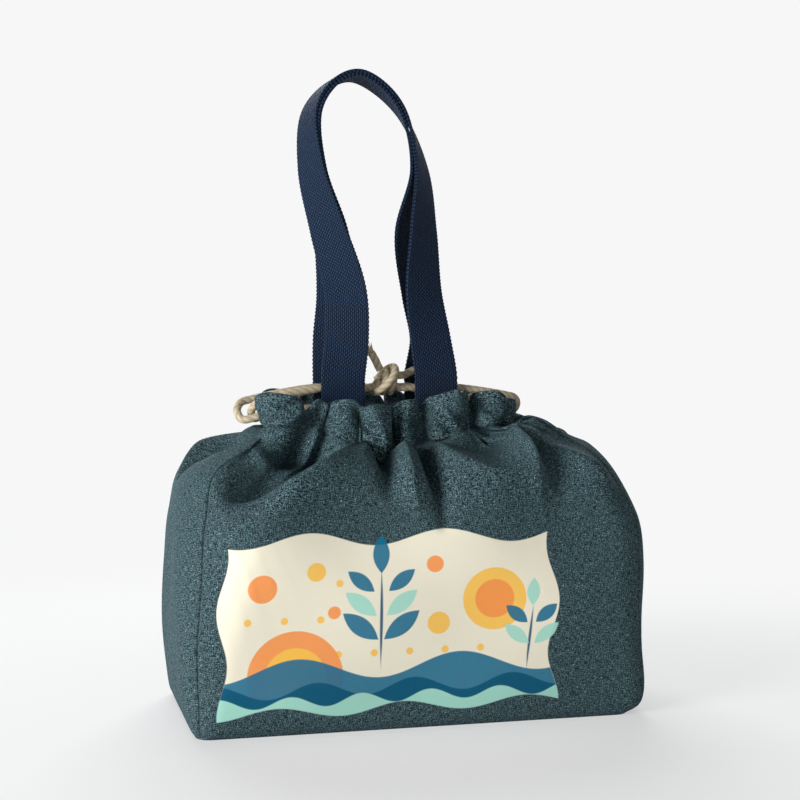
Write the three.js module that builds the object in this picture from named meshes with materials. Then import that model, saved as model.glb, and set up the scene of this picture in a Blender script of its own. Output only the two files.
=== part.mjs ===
// Bento bag: a lined canvas lunch bag with a boxed body, a drawcord mouth and two webbing handles.
// Millimetres, +Z up, the front of the bag faces -Y, the origin is the middle of its base.

import * as THREE from 'three';

// Body of the bag, measured over the canvas
const baseWidth = 242;
const baseDepth = 120;
const baseCorner = 8; // radius of the upright edges at the base
const sideSwell = 9; // how far the filled sides stand out past the base
const frontSwell = 6; // the same for the front and the back
const bellyHeight = 55; // where the walls stand out most
const shoulderRise = 63; // from the belly to where the walls turn in
const shoulderCorner = 30; // radius of the upright edges at the shoulder
const fullestCorner = 0.95; // most that a corner's radius takes of the half depth
const crownRise = 27; // from the shoulder to the rounded crown
const roofRise = 9; // from the crown to the sloping roof
const neckRise = 7; // from the roof to the gathered neck

// Gathered mouth
const mouthWidth = 142;
const mouthDepth = 42;
const mouthShift = -5.5; // the tied mouth lies this far from the middle of the bag
const casingHeight = 12; // the channel that the cords run in
const headingHeight = 9; // the ruffle above the channel
const gatherDepth = 8; // how far a pleat stands out from the neck
const frontPleats = 6;
const sidePleats = 2;
const sidePleatShare = 0.35; // how deep they are beside those at the front
const pleatFade = 9; // how far a pleat takes to rise beside a sewn handle

// Cloth
const canvas = 1.2;
const lining = 0.8;
const clearance = 0.3; // gap between pieces that touch
const hemGap = 0.4; // gap between the two layers of the heading

// Drawcords
const cordDiameter = 4.5;
const cordPlay = 0.4; // room round a cord in its channel
const loopRadius = 9; // a limp cord turns no tighter than two diameters
const loopLean = Math.PI / 4; // how far a loop leans over from level
const loopRise = { left: -0.5, right: 7 }; // from the casing to the middle of a loop
const loopReach = { left: { front: 76, back: 68 }, right: { front: 64, back: 70 } };
const sag = { left: { front: 0, back: 0 }, right: { front: 9, back: 0 } }; // of each cord before the knot
const knotTurns = 3;
const knotRise = 3; // from the heading to the middle of the knot
const knotDrop = 3; // the cords enter the knot this far below its middle

// Webbing handles
const strapWidth = 25;
const strapThickness = 2;
const strapSpacing = 54; // between the middles of a handle's two ends
const handleRise = 178; // from the heading to the top of the front handle
const handleWaist = 45; // narrowest spacing, a third of the way up
const handleBelly = 62; // widest spacing, near the top
const handleLean = { left: -17, top: -18, right: -12 }; // how far each leg and the top lean over
const nestTop = 4; // the back loop passes this far under the front one
const nestSide = { left: 7, right: 6 }; // and this far inside it at the sides
const backSpread = 8; // the back loop's right leg bows out this far above the mouth
const sewnLength = 20; // webbing sewn down inside the mouth

// Facets
const columnsPerPleat = 6;
const liningColumns = 1 / 3; // the lining has fewer columns than the canvas
const cordSides = 8;
const runSteps = 36;
const freeSteps = 20;
const tailSteps = 5;
const knotSides = 16;
const knotSteps = 4; // along one turn of the knot
const handleSteps = 52;

// Sizes that follow
const shoulderHeight = bellyHeight + shoulderRise;
const crownHeight = shoulderHeight + crownRise;
const roofHeight = crownHeight + roofRise;
const neckHeight = roofHeight + neckRise;
const headingBase = neckHeight + casingHeight;
const mouthTop = headingBase + headingHeight;
const casingGap = cordDiameter + 2 * cordPlay;
const knotLength = knotTurns * cordDiameter;
const knotCore = cordDiameter + 2 * clearance; // wide enough for the ends of two cords side by side
const casingDepth = canvas + casingGap + canvas; // from the outside of the neck to the inside of the hem
const lowCord = neckHeight + casingHeight / 4;
const highCord = neckHeight + (casingHeight * 3) / 4;
const cordHeights = { left: highCord, right: lowCord };
const hingeHeight = mouthTop + clearance + strapThickness / 2;
const hingeDepth = mouthDepth / 2 - casingDepth - clearance - strapThickness / 2;

// Shares of the way from shoulder to mouth at the crown and the roof
const crownDraw = { width: 0.24, depth: 0.26 };
const roofDraw = { width: 0.54, depth: 0.62 };

// Shape of the wall from the base to the mouth, as half width, half depth and height
const bellyHalf = { width: baseWidth / 2 + sideSwell, depth: baseDepth / 2 + frontSwell };
const shoulderHalf = { width: bellyHalf.width, depth: bellyHalf.depth - frontSwell / 2 };
const mouthHalf = { width: mouthWidth / 2, depth: mouthDepth / 2 };
const upward = new THREE.Vector3(0, 0, 1);
const mix = THREE.MathUtils.lerp;
const ramp = (from, to, value) => THREE.MathUtils.smoothstep(value, from, to);

function drawnIn(share, height) {
  const width = mix(shoulderHalf.width, mouthHalf.width, share.width);
  const depth = mix(shoulderHalf.depth, mouthHalf.depth, share.depth);
  return new THREE.Vector3(width, depth, height);
}

const wallStops = [
  new THREE.Vector3(baseWidth / 2, baseDepth / 2, 0),
  new THREE.Vector3(bellyHalf.width, bellyHalf.depth, bellyHeight),
  new THREE.Vector3(shoulderHalf.width, shoulderHalf.depth, shoulderHeight),
  drawnIn(crownDraw, crownHeight),
  drawnIn(roofDraw, roofHeight),
  new THREE.Vector3(mouthHalf.width, mouthHalf.depth, neckHeight),
];
const wallCurve = new THREE.CatmullRomCurve3(wallStops, false, 'centripetal');
const atBelly = 1;
const atShoulder = 2;
const atNeck = 5;
const atTop = 6;

// Size of the bag at a level. Levels count the stops from the base, and past the neck the wall is upright.
function wallStop(at) {
  if (at <= atNeck) return wallCurve.getPoint(at / atNeck);
  return new THREE.Vector3(mouthHalf.width, mouthHalf.depth, mix(neckHeight, mouthTop, at - atNeck));
}

// Finds the level at a height, by halving.
function atHeight(height) {
  let low = 0;
  let high = atTop;
  for (let step = 0; step < 40; step += 1) {
    const middle = (low + high) / 2;
    if (wallStop(middle).z < height) low = middle;
    else high = middle;
  }
  return (low + high) / 2;
}

// The four upright walls: how far each is turned from the front, and its pleats at the neck
const walls = {
  front: { turn: 0, pleats: frontPleats, columns: columnsPerPleat * frontPleats, handles: true },
  right: { turn: Math.PI / 2, pleats: sidePleats, columns: columnsPerPleat * sidePleats, handles: false },
  back: { turn: Math.PI, pleats: frontPleats, columns: columnsPerPleat * frontPleats, handles: true },
  left: { turn: -Math.PI / 2, pleats: sidePleats, columns: columnsPerPleat * sidePleats, handles: false },
};

// Radius of the upright corners, which at the mouth leave only a short straight at each side.
function cornerRadius(at, halfDepth) {
  const lower = mix(baseCorner, shoulderCorner, Math.min(at / atShoulder, 1));
  const upper = mix(lower, mouthHalf.depth, ramp(atShoulder, atNeck, at));
  return Math.min(upper, halfDepth * fullestCorner);
}

// One wall's edge at a level is half a corner arc, a straight and half a corner arc.
function wallEdge(wall, at) {
  const stop = wallStop(at);
  const sideways = wall.turn % Math.PI !== 0;
  const radius = cornerRadius(at, stop.y);
  const straight = (sideways ? stop.y : stop.x) - radius;
  const out = sideways ? stop.x : stop.y;
  return { straight, out, radius, height: stop.z, half: straight + (radius * Math.PI) / 4 };
}

// A place on a wall's edge and the direction out of it. across runs from -1 at the left seam to 1 at the
// right seam, and end is kept free at both seams.
function edgePoint(wall, at, across, end = clearance / 2) {
  const edge = wallEdge(wall, at);
  const distance = across * (edge.half - end);
  const flat = THREE.MathUtils.clamp(distance, -edge.straight, edge.straight);
  const angle = (distance - flat) / edge.radius;
  const normal = new THREE.Vector3(Math.sin(angle), -Math.cos(angle), 0);
  const point = new THREE.Vector3(flat, edge.radius - edge.out, edge.height);
  point.addScaledVector(normal, edge.radius).applyAxisAngle(upward, wall.turn);
  point.x += mouthShift * ramp(atShoulder, atNeck, at);
  return { point, normal: normal.applyAxisAngle(upward, wall.turn) };
}

// Direction square to the cloth, level at the base and at the mouth where the edges are cut level.
function clothNormal(wall, at, across) {
  const nudge = 0.01;
  const { normal } = edgePoint(wall, at, across);
  const below = edgePoint(wall, Math.max(at - nudge, 0), across).point;
  const above = edgePoint(wall, Math.min(at + nudge, atTop), across).point;
  const rise = above.sub(below);
  const levelEnds = ramp(0, atBelly / 2, at) * (1 - ramp(atNeck - 0.3, atNeck, at));
  const tilted = normal.clone().multiplyScalar(rise.z);
  tilted.z = -rise.dot(normal) * levelEnds;
  return tilted.normalize();
}

// Height of the pleats across a wall, flat where a handle is sewn on.
function pleat(wall, across) {
  const wave = (1 - Math.cos(Math.PI * wall.pleats * (across + 1))) / 2;
  if (!wall.handles) return wave * sidePleatShare;
  const fromMiddle = Math.abs(across) * wallEdge(wall, atNeck).half;
  const fromHandle = Math.abs(fromMiddle - strapSpacing / 2);
  return wave * ramp(strapWidth / 2, strapWidth / 2 + pleatFade, fromHandle);
}

// A place in the cloth: its level on the wall, its depth under the outside, and its share of the pleats.
function clothPoint(wall, across, { at, depth, gather }) {
  const { point } = edgePoint(wall, at, across);
  const reach = gatherDepth * gather * pleat(wall, across) * ramp(atShoulder, atNeck, at);
  return point.addScaledVector(clothNormal(wall, at, across), reach - depth);
}

// Closed body lofted through equal rings of points. Each ring goes out along one face and comes back along
// the other, anticlockwise as seen along the loft, so each end is capped as a ladder from face to face.
function loft(rings) {
  const count = rings[0].length;
  const index = [];
  for (let ring = 0; ring + 1 < rings.length; ring += 1) {
    for (let side = 0; side < count; side += 1) {
      const a = ring * count + side;
      const b = ring * count + ((side + 1) % count);
      index.push(a, b, a + count, b, b + count, a + count);
    }
  }
  const last = (rings.length - 1) * count;
  for (let rung = 0; rung + 1 < count / 2; rung += 1) {
    const facing = count - 1 - rung;
    const ladder = [rung, facing, rung + 1, rung + 1, facing, facing - 1];
    index.push(...ladder, ...ladder.map((corner) => last + corner).reverse());
  }
  const coordinates = rings.flat().flatMap((point) => point.toArray());
  const geometry = new THREE.BufferGeometry();
  geometry.setAttribute('position', new THREE.Float32BufferAttribute(coordinates, 3));
  geometry.setIndex(index);
  return geometry;
}

// A panel of cloth: an outline in level and depth, carried from the right seam to the left in equal columns.
function panel(wall, outline, columns = wall.columns) {
  const rings = [];
  for (let column = 0; column <= columns; column += 1) {
    const across = 1 - (2 * column) / columns;
    rings.push(outline.map((place) => clothPoint(wall, across, place)));
  }
  return loft(rings);
}

// Levels from one place on the wall to another, closer together where the wall bends.
function levels(from, to) {
  const stops = [0.5, 1, 1.5, 2, 2.4, 2.8, 3.2, 3.6, 4, 4.4, 4.8];
  return [from, ...stops.filter((stop) => stop > from && stop < to), to];
}

// Plain sheet between two levels, from one depth to another.
function sheet(from, to, outer, inner, gather) {
  const rows = levels(from, to);
  const outside = rows.map((at) => ({ at, depth: outer, gather }));
  const inside = rows.map((at) => ({ at, depth: inner, gather })).reverse();
  return [...outside, ...inside];
}

// Front and back panels: a sheet whose top edge turns in and comes down inside, leaving the cord channel.
function hemmedSheet() {
  const underTop = atHeight(mouthTop - canvas);
  const channelTop = atHeight(headingBase);
  const channelRoof = atHeight(headingBase + casingGap / 2);
  const hem = [
    { at: channelRoof, depth: canvas + hemGap, gather: 1 },
    { at: channelTop, depth: canvas + casingGap, gather: 0 },
    { at: atNeck, depth: canvas + casingGap, gather: 0 },
  ];
  const rows = [...levels(0, atNeck), channelTop, channelRoof];
  const inward = ({ at, depth, gather }) => ({ at, depth: depth + canvas, gather });
  return [
    ...rows.map((at) => ({ at, depth: 0, gather: 1 })),
    { at: atTop, depth: 0, gather: 1 },
    { at: atTop, depth: 2 * canvas + hemGap, gather: 1 },
    ...hem.map(inward),
    ...hem.slice().reverse(),
    { at: underTop, depth: canvas + hemGap, gather: 1 },
    { at: underTop, depth: canvas, gather: 1 },
    ...rows.map((at) => ({ at, depth: canvas, gather: 1 })).reverse(),
  ];
}

// Flat bottom that fits inside the four walls, at a depth under their outside, with their columns.
function bottom(at, depth, thickness, columnShare = 1) {
  const outline = [];
  for (const wall of Object.values(walls)) {
    const columns = wall.columns * columnShare;
    for (let column = 0; column <= columns; column += 1) {
      const across = (2 * column) / columns - 1;
      const { x, y } = clothPoint(wall, across, { at, depth, gather: 0 });
      outline.push(new THREE.Vector2(x, y));
    }
  }
  return new THREE.ExtrudeGeometry(new THREE.Shape(outline), { depth: thickness, bevelEnabled: false });
}

// Round cord along a curve.
function cord(curve, steps) {
  const section = new THREE.Shape();
  for (let side = 0; side < cordSides; side += 1) {
    const angle = (side * 2 * Math.PI) / cordSides;
    const x = (Math.cos(angle) * cordDiameter) / 2;
    const y = (Math.sin(angle) * cordDiameter) / 2;
    if (side === 0) section.moveTo(x, y);
    else section.lineTo(x, y);
  }
  section.closePath();
  return new THREE.ExtrudeGeometry(section, { steps, extrudePath: curve, bevelEnabled: false });
}

// A place on the middle of a cord inside the casing, on any wall.
function channelPoint(wall, across, height) {
  const { point, normal } = edgePoint(wall, atNeck, across, 0);
  point.z = height;
  return point.addScaledVector(normal, -(canvas + casingGap / 2));
}

// Route of a cord through one casing, round the far side and back through the other casing.
function channelRoute(first, far, last, height) {
  const shares = [-1, -0.85, -0.7, -0.35, 0, 0.35, 0.7, 0.85, 1];
  const points = shares.map((across) => channelPoint(first, across, height));
  points.push(channelPoint(far, 0, height));
  points.push(...shares.map((across) => channelPoint(last, across, height)));
  return new THREE.CatmullRomCurve3(points);
}
const cordRuns = {
  left: channelRoute(walls.front, walls.right, walls.back, cordHeights.left),
  right: channelRoute(walls.back, walls.left, walls.front, cordHeights.right),
};

// Knot that ties the cords over the middle of the mouth, as a few turns of cord with flat ends
const knotCentre = new THREE.Vector3(mouthShift, 0, mouthTop + knotRise);
const knotRidge = knotCore + cordDiameter;

function knotBody() {
  const profile = [new THREE.Vector2(0, -knotLength / 2)];
  for (let step = 0; step <= knotTurns * knotSteps; step += 1) {
    const bulge = Math.abs(Math.sin((step * Math.PI) / knotSteps));
    const along = (step / (knotTurns * knotSteps)) * knotLength - knotLength / 2;
    profile.push(new THREE.Vector2(mix(knotCore + cordDiameter / 2, knotRidge, bulge), along));
  }
  profile.push(new THREE.Vector2(0, knotLength / 2));
  return new THREE.LatheGeometry(profile, knotSides).rotateZ(Math.PI / 2);
}

// A free cord leaves straight out of its casing, turns back in a leaning loop that takes it to the other
// side of the mouth, and ends square to the knot. The back loops cross inside or outside the front ones.
function freeCord(side, place) {
  const out = side === 'left' ? -1 : 1;
  const front = place === 'front' ? -1 : 1;
  const run = cordRuns[side];
  const atStart = out === front;
  const leaving = run.getTangentAt(atStart ? 0 : 1).multiplyScalar(atStart ? -1 : 1);
  const start = run.getPointAt(atStart ? 0 : 1).addScaledVector(leaving, clearance);
  const straight = start.clone().addScaledVector(leaving, cordDiameter);
  const loop = [0.25, 0.5, 0.75, 1].map((halfTurn) => {
    const outward = Math.sin(halfTurn * Math.PI) * loopRadius;
    const upper = -Math.cos(halfTurn * Math.PI) * loopRadius;
    return new THREE.Vector3(
      mouthShift + out * (loopReach[side][place] + outward),
      -front * Math.cos(loopLean) * upper,
      cordHeights[side] + loopRise[side] + Math.sin(loopLean) * upper,
    );
  });
  const end = knotCentre.clone();
  end.x += out * (knotLength / 2 + clearance);
  end.y -= front * (cordDiameter / 2 + clearance);
  end.z -= knotDrop;
  const before = end.clone();
  before.x += out * cordDiameter * 2;
  const middle = loop[loop.length - 1].clone().lerp(end, 0.5);
  middle.z = end.z - sag[side][place];
  return new THREE.CatmullRomCurve3([start, straight, ...loop, middle, before, end]);
}

// Short ends of the cords past the knot: one stands up at its left, one bends over at its right.
function knotTail(side) {
  const onTop = knotRidge + clearance;
  const onSide = knotLength / 2 + clearance;
  const places = {
    left: [[-4.5, -1, onTop], [-6, -1.5, onTop + 3], [-8.5, -2, onTop + 7]],
    right: [
      [onSide, 1, 4], [onSide + 4, 1, 4], [onSide + 12, 2, 7],
      [onSide + 21, 4, 5], [onSide + 28, 5, 1],
    ],
  };
  return new THREE.CatmullRomCurve3(places[side].map((place) => new THREE.Vector3(...place).add(knotCentre)));
}

// Height of a loop's middle line above its hinge. The back loop passes under the front one.
function handleHeight(front) {
  return handleRise - strapThickness - (front < 0 ? 0 : nestTop);
}

// Half of a handle's loop as a list of places above its hinge, from the sewn end to near the top.
// Each share is of the loop's height.
function handleSide(side, front) {
  const back = front < 0 ? 0 : 1;
  const out = side === 'left' ? -1 : 1;
  const places = [];
  for (const [share, spacing] of [
    [0, strapSpacing],
    [0.03, strapSpacing],
    [0.15, mix(strapSpacing, handleWaist, 0.6)],
    [0.3, handleWaist],
    [0.5, mix(handleWaist, handleBelly, 0.55)],
    [0.7, handleBelly],
    [0.88, handleBelly * 0.86],
    [0.97, handleBelly * 0.44],
  ]) {
    const inset = back * nestSide[side] * ramp(0.1, 0.5, share) * Math.min(spacing / handleWaist, 1);
    const bowed = side === 'right' ? back * backSpread : 0;
    const bow = bowed * ramp(0.03, 0.15, share) * (1 - ramp(0.25, 0.5, share));
    const lean = mix(handleLean[side], handleLean.top, ramp(0.7, 1, share)) * ramp(0.03, 1, share);
    const across = out * (spacing / 2 - inset + bow) + lean;
    const inward = hingeDepth * ramp(0.35, 1, share);
    places.push(new THREE.Vector3(across, -front * inward, handleHeight(front) * share));
  }
  return places;
}

// A handle's loop of webbing, flat to the bag at its ends and turned edge on to it at the top.
function handle(front) {
  const crown = new THREE.Vector3(handleLean.top, -front * hingeDepth, handleHeight(front));
  const legs = { left: handleSide('left', front), right: handleSide('right', front).reverse() };
  const curve = new THREE.CatmullRomCurve3([...legs.left, crown, ...legs.right]);
  const length = curve.getLength();
  const rounding = [0.3, 0.7, 0.98].map((share) => (share * strapThickness) / 2 / length);
  const shares = rounding.map((past) => -past).reverse();
  for (let step = 0; step <= handleSteps; step += 1) shares.push(step / handleSteps);
  shares.push(...rounding.map((past) => 1 + past));
  return loft(shares.map((share) => strapSection(curve, length, share, front)));
}

// Four corners of the webbing at a share of its length. Past either end it closes in a half round.
function strapSection(curve, length, share, front) {
  const inside = THREE.MathUtils.clamp(share, 0, 1);
  const past = (share - inside) * length;
  const along = curve.getTangentAt(inside);
  const centre = curve.getPointAt(inside).addScaledVector(along, past);
  const half = strapThickness / 2;
  const thick = Math.sqrt(half * half - past * past);
  const rise = curve.getPointAt(inside).z / (handleRise - strapThickness);
  const turn = (Math.PI / 2) * ramp(0.08, 0.8, rise);
  const inner = inside < 0.5 ? 1 : -1;
  const across = new THREE.Vector3(inner * Math.cos(turn), front * Math.sin(turn), 0);
  across.addScaledVector(along, -across.dot(along)).normalize();
  const through = new THREE.Vector3().crossVectors(along, across);
  const corners = [[1, 1], [-1, 1], [-1, -1], [1, -1]];
  return corners.map(([wide, deep]) => centre.clone()
    .addScaledVector(across, (wide * strapWidth) / 2)
    .addScaledVector(through, deep * thick));
}

// Materials
const canvasCloth = new THREE.MeshStandardMaterial({ color: 0x42525c, roughness: 0.95, metalness: 0 });
const liningCloth = new THREE.MeshStandardMaterial({ color: 0xd9d4c6, roughness: 0.9, metalness: 0 });
const webbing = new THREE.MeshStandardMaterial({ color: 0x24344e, roughness: 0.85, metalness: 0 });
const cotton = new THREE.MeshStandardMaterial({ color: 0xcdbf9f, roughness: 0.95, metalness: 0 });

function piece(name, geometry, material) {
  const mesh = new THREE.Mesh(geometry, material.clone());
  mesh.name = name;
  return mesh;
}

// Outer canvas and lining
const bag = new THREE.Group();
const gussetTop = atHeight(lowCord - cordDiameter / 2 - clearance);
const liningTop = atHeight(neckHeight - clearance - canvas);
const liningOutside = canvas + clearance;
const liningInside = liningOutside + lining;
const liningFoot = atHeight(canvas + clearance);
for (const name of ['front', 'back']) {
  bag.add(piece(`${name}_panel`, panel(walls[name], hemmedSheet()), canvasCloth));
}
for (const name of ['left', 'right']) {
  bag.add(piece(`${name}_gusset`, panel(walls[name], sheet(0, gussetTop, 0, canvas, 1)), canvasCloth));
}
bag.add(piece('base_panel', bottom(0, canvas + clearance, canvas), canvasCloth));
for (const [name, wall] of Object.entries(walls)) {
  const outline = sheet(liningFoot, liningTop, liningOutside, liningInside, 0);
  bag.add(piece(`lining_${name}`, panel(wall, outline, wall.columns * liningColumns), liningCloth));
}
const liningBottom = bottom(liningFoot, liningInside + clearance, lining, liningColumns);
const liningBase = piece('lining_base', liningBottom, liningCloth);
liningBase.position.z = canvas + clearance;
bag.add(liningBase);

// Handles, each in a group at the line that it folds on, and their sewn ends below that line
for (const [name, front] of [['front', -1], ['back', 1]]) {
  const fold = new THREE.Group();
  fold.position.set(mouthShift, front * hingeDepth, hingeHeight);
  fold.add(piece(`${name}_handle`, handle(front), webbing));
  for (const [side, direction] of [['left', -1], ['right', 1]]) {
    const end = new THREE.BoxGeometry(strapWidth, strapThickness, sewnLength);
    const sewn = piece(`${name}_handle_end_${side}`, end, webbing);
    const drop = strapThickness / 2 + clearance + sewnLength / 2;
    sewn.position.set((direction * strapSpacing) / 2, 0, -drop);
    fold.add(sewn);
  }
  bag.add(fold);
}

// Drawcords, with the knot that ties the two pairs and its short tails
for (const side of ['left', 'right']) {
  bag.add(piece(`${side}_cord_run`, cord(cordRuns[side], runSteps), cotton));
  for (const place of ['front', 'back']) {
    bag.add(piece(`${side}_cord_${place}`, cord(freeCord(side, place), freeSteps), cotton));
  }
  bag.add(piece(`knot_tail_${side}`, cord(knotTail(side), tailSteps), cotton));
}
const knot = piece('cord_knot', knotBody(), cotton);
knot.position.copy(knotCentre);
bag.add(knot);

export default bag;
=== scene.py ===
# %% [markdown]
# # A bento bag in soft cloth
# The real bag is sewn from canvas, lined, gathered at the mouth by two drawcords and carried by webbing
# handles. Here a stiff model of it gives the frame, and each sewn piece is made again as soft cloth on it.
# Lengths in this lesson are in millimetres, and become metres when a mesh is made.

# %% Load the frame
import math

import bpy
import numpy as np
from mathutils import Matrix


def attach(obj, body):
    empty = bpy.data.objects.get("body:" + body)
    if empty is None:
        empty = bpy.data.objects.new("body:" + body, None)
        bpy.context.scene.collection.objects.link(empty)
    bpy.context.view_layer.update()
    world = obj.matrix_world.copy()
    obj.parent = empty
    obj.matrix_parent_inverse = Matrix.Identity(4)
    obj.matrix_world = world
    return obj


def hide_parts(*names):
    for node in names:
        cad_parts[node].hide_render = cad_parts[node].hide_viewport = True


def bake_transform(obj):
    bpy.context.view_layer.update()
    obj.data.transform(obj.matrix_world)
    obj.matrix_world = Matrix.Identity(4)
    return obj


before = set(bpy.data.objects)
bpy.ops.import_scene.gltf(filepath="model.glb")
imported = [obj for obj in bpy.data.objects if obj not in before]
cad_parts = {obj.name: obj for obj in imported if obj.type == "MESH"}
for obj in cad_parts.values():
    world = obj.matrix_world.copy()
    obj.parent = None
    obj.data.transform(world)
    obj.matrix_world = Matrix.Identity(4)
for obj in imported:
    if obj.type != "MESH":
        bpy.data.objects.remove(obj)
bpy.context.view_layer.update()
scene = bpy.context.scene
MM = 0.001

# %% [markdown]
# ## Camera
# The camera stands a little higher than the mouth of the bag and to the left of its middle, so that the
# front and a strip of the left side show. A long lens keeps the upright edges nearly parallel.

# %% Camera
camera_data = bpy.data.cameras.new("camera")
camera_data.sensor_width = 36
camera_data.lens = 72
camera = bpy.data.objects.new("camera", camera_data)
camera.location = (-0.2202, -0.8890, 0.2160)
camera.rotation_euler = (math.radians(90 - 2.58), 0, math.radians(-14.12))
scene.collection.objects.link(camera)
scene.camera = camera
scene.view_settings.view_transform = "Standard"
print("camera stands", round(camera.location.length, 3), "m from the middle of the base")

# %% [markdown]
# ## Shapes as whole arrays
# Every new piece is a grid of points worked out with numpy. One helper turns a grid into quads, another
# closes a tube, a third puts points, faces and a flat map of the cloth into a mesh, and a fourth ties the
# piece to the bag.

# %% Grid and mesh helpers


def grid_faces(rows, columns, around=False):
    """Quads of a grid of points in row order. around joins the last column to the first."""
    row, column = np.meshgrid(np.arange(rows - 1), np.arange(columns - (not around)), indexing="ij")
    following = (column + 1) % columns
    corners = [row * columns + column, row * columns + following]
    corners += [(row + 1) * columns + following, (row + 1) * columns + column]
    return np.stack(corners, axis=-1).reshape(-1, 4).tolist()


def tube_faces(rings, sides):
    """Quads of a tube of rings, and a cap at each end."""
    first, last = list(range(sides)), (rings - 1) * sides
    return grid_faces(rings, sides, around=True) + [first[::-1], [last + corner for corner in first]]


def add_mesh(name, points, faces, flat_map=None, smooth=True):
    """A mesh object at the origin from points in millimetres, with a UV map in millimetres on the cloth."""
    mesh = bpy.data.meshes.new(name)
    mesh.from_pydata((np.reshape(points, (-1, 3)) * MM).tolist(), [], faces)
    if flat_map is not None:
        corners = np.zeros(len(mesh.loops), dtype=np.int32)
        mesh.loops.foreach_get("vertex_index", corners)
        layer = mesh.uv_layers.new(name="cloth")
        layer.data.foreach_set("uv", np.reshape(flat_map, (-1, 2))[corners].astype(np.float32).ravel())
    mesh.polygons.foreach_set("use_smooth", np.full(len(mesh.polygons), smooth))
    mesh.update()
    made = bpy.data.objects.new(name, mesh)
    scene.collection.objects.link(made)
    return made


def dress(piece, slot, *nodes):
    """Let a piece ride on the bag and stand for the stiff nodes that it replaces. slot is not used."""
    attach(piece, "bag")
    if nodes:
        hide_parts(*nodes)


def unit(vectors):
    """Each vector divided by its own length."""
    return vectors / np.maximum(np.linalg.norm(vectors, axis=-1, keepdims=True), 1e-9)


def ramp(start, end, value):
    """Smooth step: 0 before start, 1 after end, and 3t^2 - 2t^3 between them."""
    share = np.clip((np.asarray(value, float) - start) / (end - start), 0, 1)
    return share * share * (3 - 2 * share)


def blend_values(a, b, share):
    """Straight mix of a and b."""
    return a + (np.asarray(b) - a) * share


# %% [markdown]
# ## Smooth routes
# Cords and handles follow a curve through a few places. A centripetal Catmull-Rom curve passes through
# every place without loops or overshoot, and evenly spaced points on it make even rings.

# %% Smooth route through places


def smooth_route(places, count, fine=60):
    """Evenly spaced points on the curve through the places. Each stretch is a cubic whose end slopes
    come from its neighbours, with knots spaced by the square root of the distances."""
    places = np.asarray(places, float)
    ends = [2 * places[0] - places[1]], [2 * places[-1] - places[-2]]
    p = np.concatenate([ends[0], places, ends[1]])
    gap = np.sqrt(np.linalg.norm(np.diff(p, axis=0), axis=1))[:, None]
    before, here, after = gap[:-2], gap[1:-1], gap[2:]
    a, b, c, d = p[:-3], p[1:-2], p[2:-1], p[3:]
    leave = here * ((b - a) / before - (c - a) / (before + here) + (c - b) / here)
    arrive = here * ((c - b) / here - (d - b) / (here + after) + (d - c) / after)
    t = np.linspace(0, 1, fine, endpoint=False)[None, :, None]
    b, c, leave, arrive = (x[:, None, :] for x in (b, c, leave, arrive))
    cubic = (2 * t**3 - 3 * t**2 + 1) * b + (t**3 - 2 * t**2 + t) * leave
    cubic = cubic + (3 * t**2 - 2 * t**3) * c + (t**3 - t**2) * arrive
    return evenly(np.concatenate([cubic.reshape(-1, places.shape[1]), places[-1:]]), count)


def distances(line):
    """Distance of each point from the start, along a line of points."""
    return np.concatenate([[0], np.cumsum(np.linalg.norm(np.diff(line, axis=0), axis=1))])


def evenly(line, count):
    """The same line with count points at equal distances along it."""
    along = distances(line)
    at = np.linspace(0, along[-1], count)
    return np.stack([np.interp(at, along, line[:, i]) for i in range(line.shape[1])], axis=-1)


def line_length(line):
    """Sum of the steps along a line of points."""
    return float(np.linalg.norm(np.diff(line, axis=0), axis=1).sum())


# %% [markdown]
# ## Drawcords
# The cords are natural cotton, laid from three strands. Each cord goes round three sides of the mouth
# inside the casing. Both of its ends come out at the fourth side, turn back in slack loops and run to the
# knot over the middle. A tube with a three-lobed section that turns along the length shows the lay.

# %% Sizes of the mouth and cords
MOUTH_SHIFT = -5.5
MOUTH_HALF = np.array([71.0, 21.0])
NECK = 161.0
CASING = 12.0
HEADING_TOP = 182.0
CANVAS = 1.2
CORD = 4.5
CLEARANCE = 0.3
CASING_PLAY = 0.8
CHANNEL = CANVAS + (CORD + CASING_PLAY) / 2
CORD_HEIGHT = {"left": NECK + CASING * 0.75, "right": NECK + CASING * 0.25}
KNOT = np.array([MOUTH_SHIFT, 0, HEADING_TOP + 3])
KNOT_HALF = 1.5 * CORD
SIDES = {"left": -1, "right": 1}
PLACES = {"front": -1, "back": 1}
print("the cord lies", round(CHANNEL, 2), "mm behind the outside of the casing")

# %% Cord tube
CORD_SECTION = 24
LAY = 13.0
STRANDS, GROOVE = 3, 0.045


def cord_tube(name, route, across):
    """A tube round the route. Its radius has three soft lobes, and the lobes turn once in each length of
    LAY. across is a direction that the route never runs along, and sets where the section starts."""
    sides = CORD_SECTION
    along = distances(route)
    ahead = unit(np.gradient(route, axis=0))
    first = unit(across - (ahead @ across)[:, None] * ahead)
    second = np.cross(ahead, first)
    angle = np.linspace(0, 2 * np.pi, sides, endpoint=False)[None, :]
    twisted = angle - (along / LAY * 2 * np.pi)[:, None]
    lobes = np.abs(np.cos(STRANDS / 2 * twisted)) ** 0.7
    radius = CORD / 2 * (1 - GROOVE + GROOVE * lobes)
    ring = np.cos(angle)[..., None] * first[:, None, :] + np.sin(angle)[..., None] * second[:, None, :]
    points = route[:, None, :] + radius[..., None] * ring
    flat_map = np.stack(np.broadcast_arrays(twisted, along[:, None]), axis=-1)
    return add_mesh(name, points, tube_faces(len(route), sides), flat_map)


def joined(name, parts):
    """Several meshes with the same map as one object."""
    with bpy.context.temp_override(active_object=parts[0], selected_editable_objects=parts):
        bpy.ops.object.join()
    parts[0].name = parts[0].data.name = name
    return parts[0]


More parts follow.
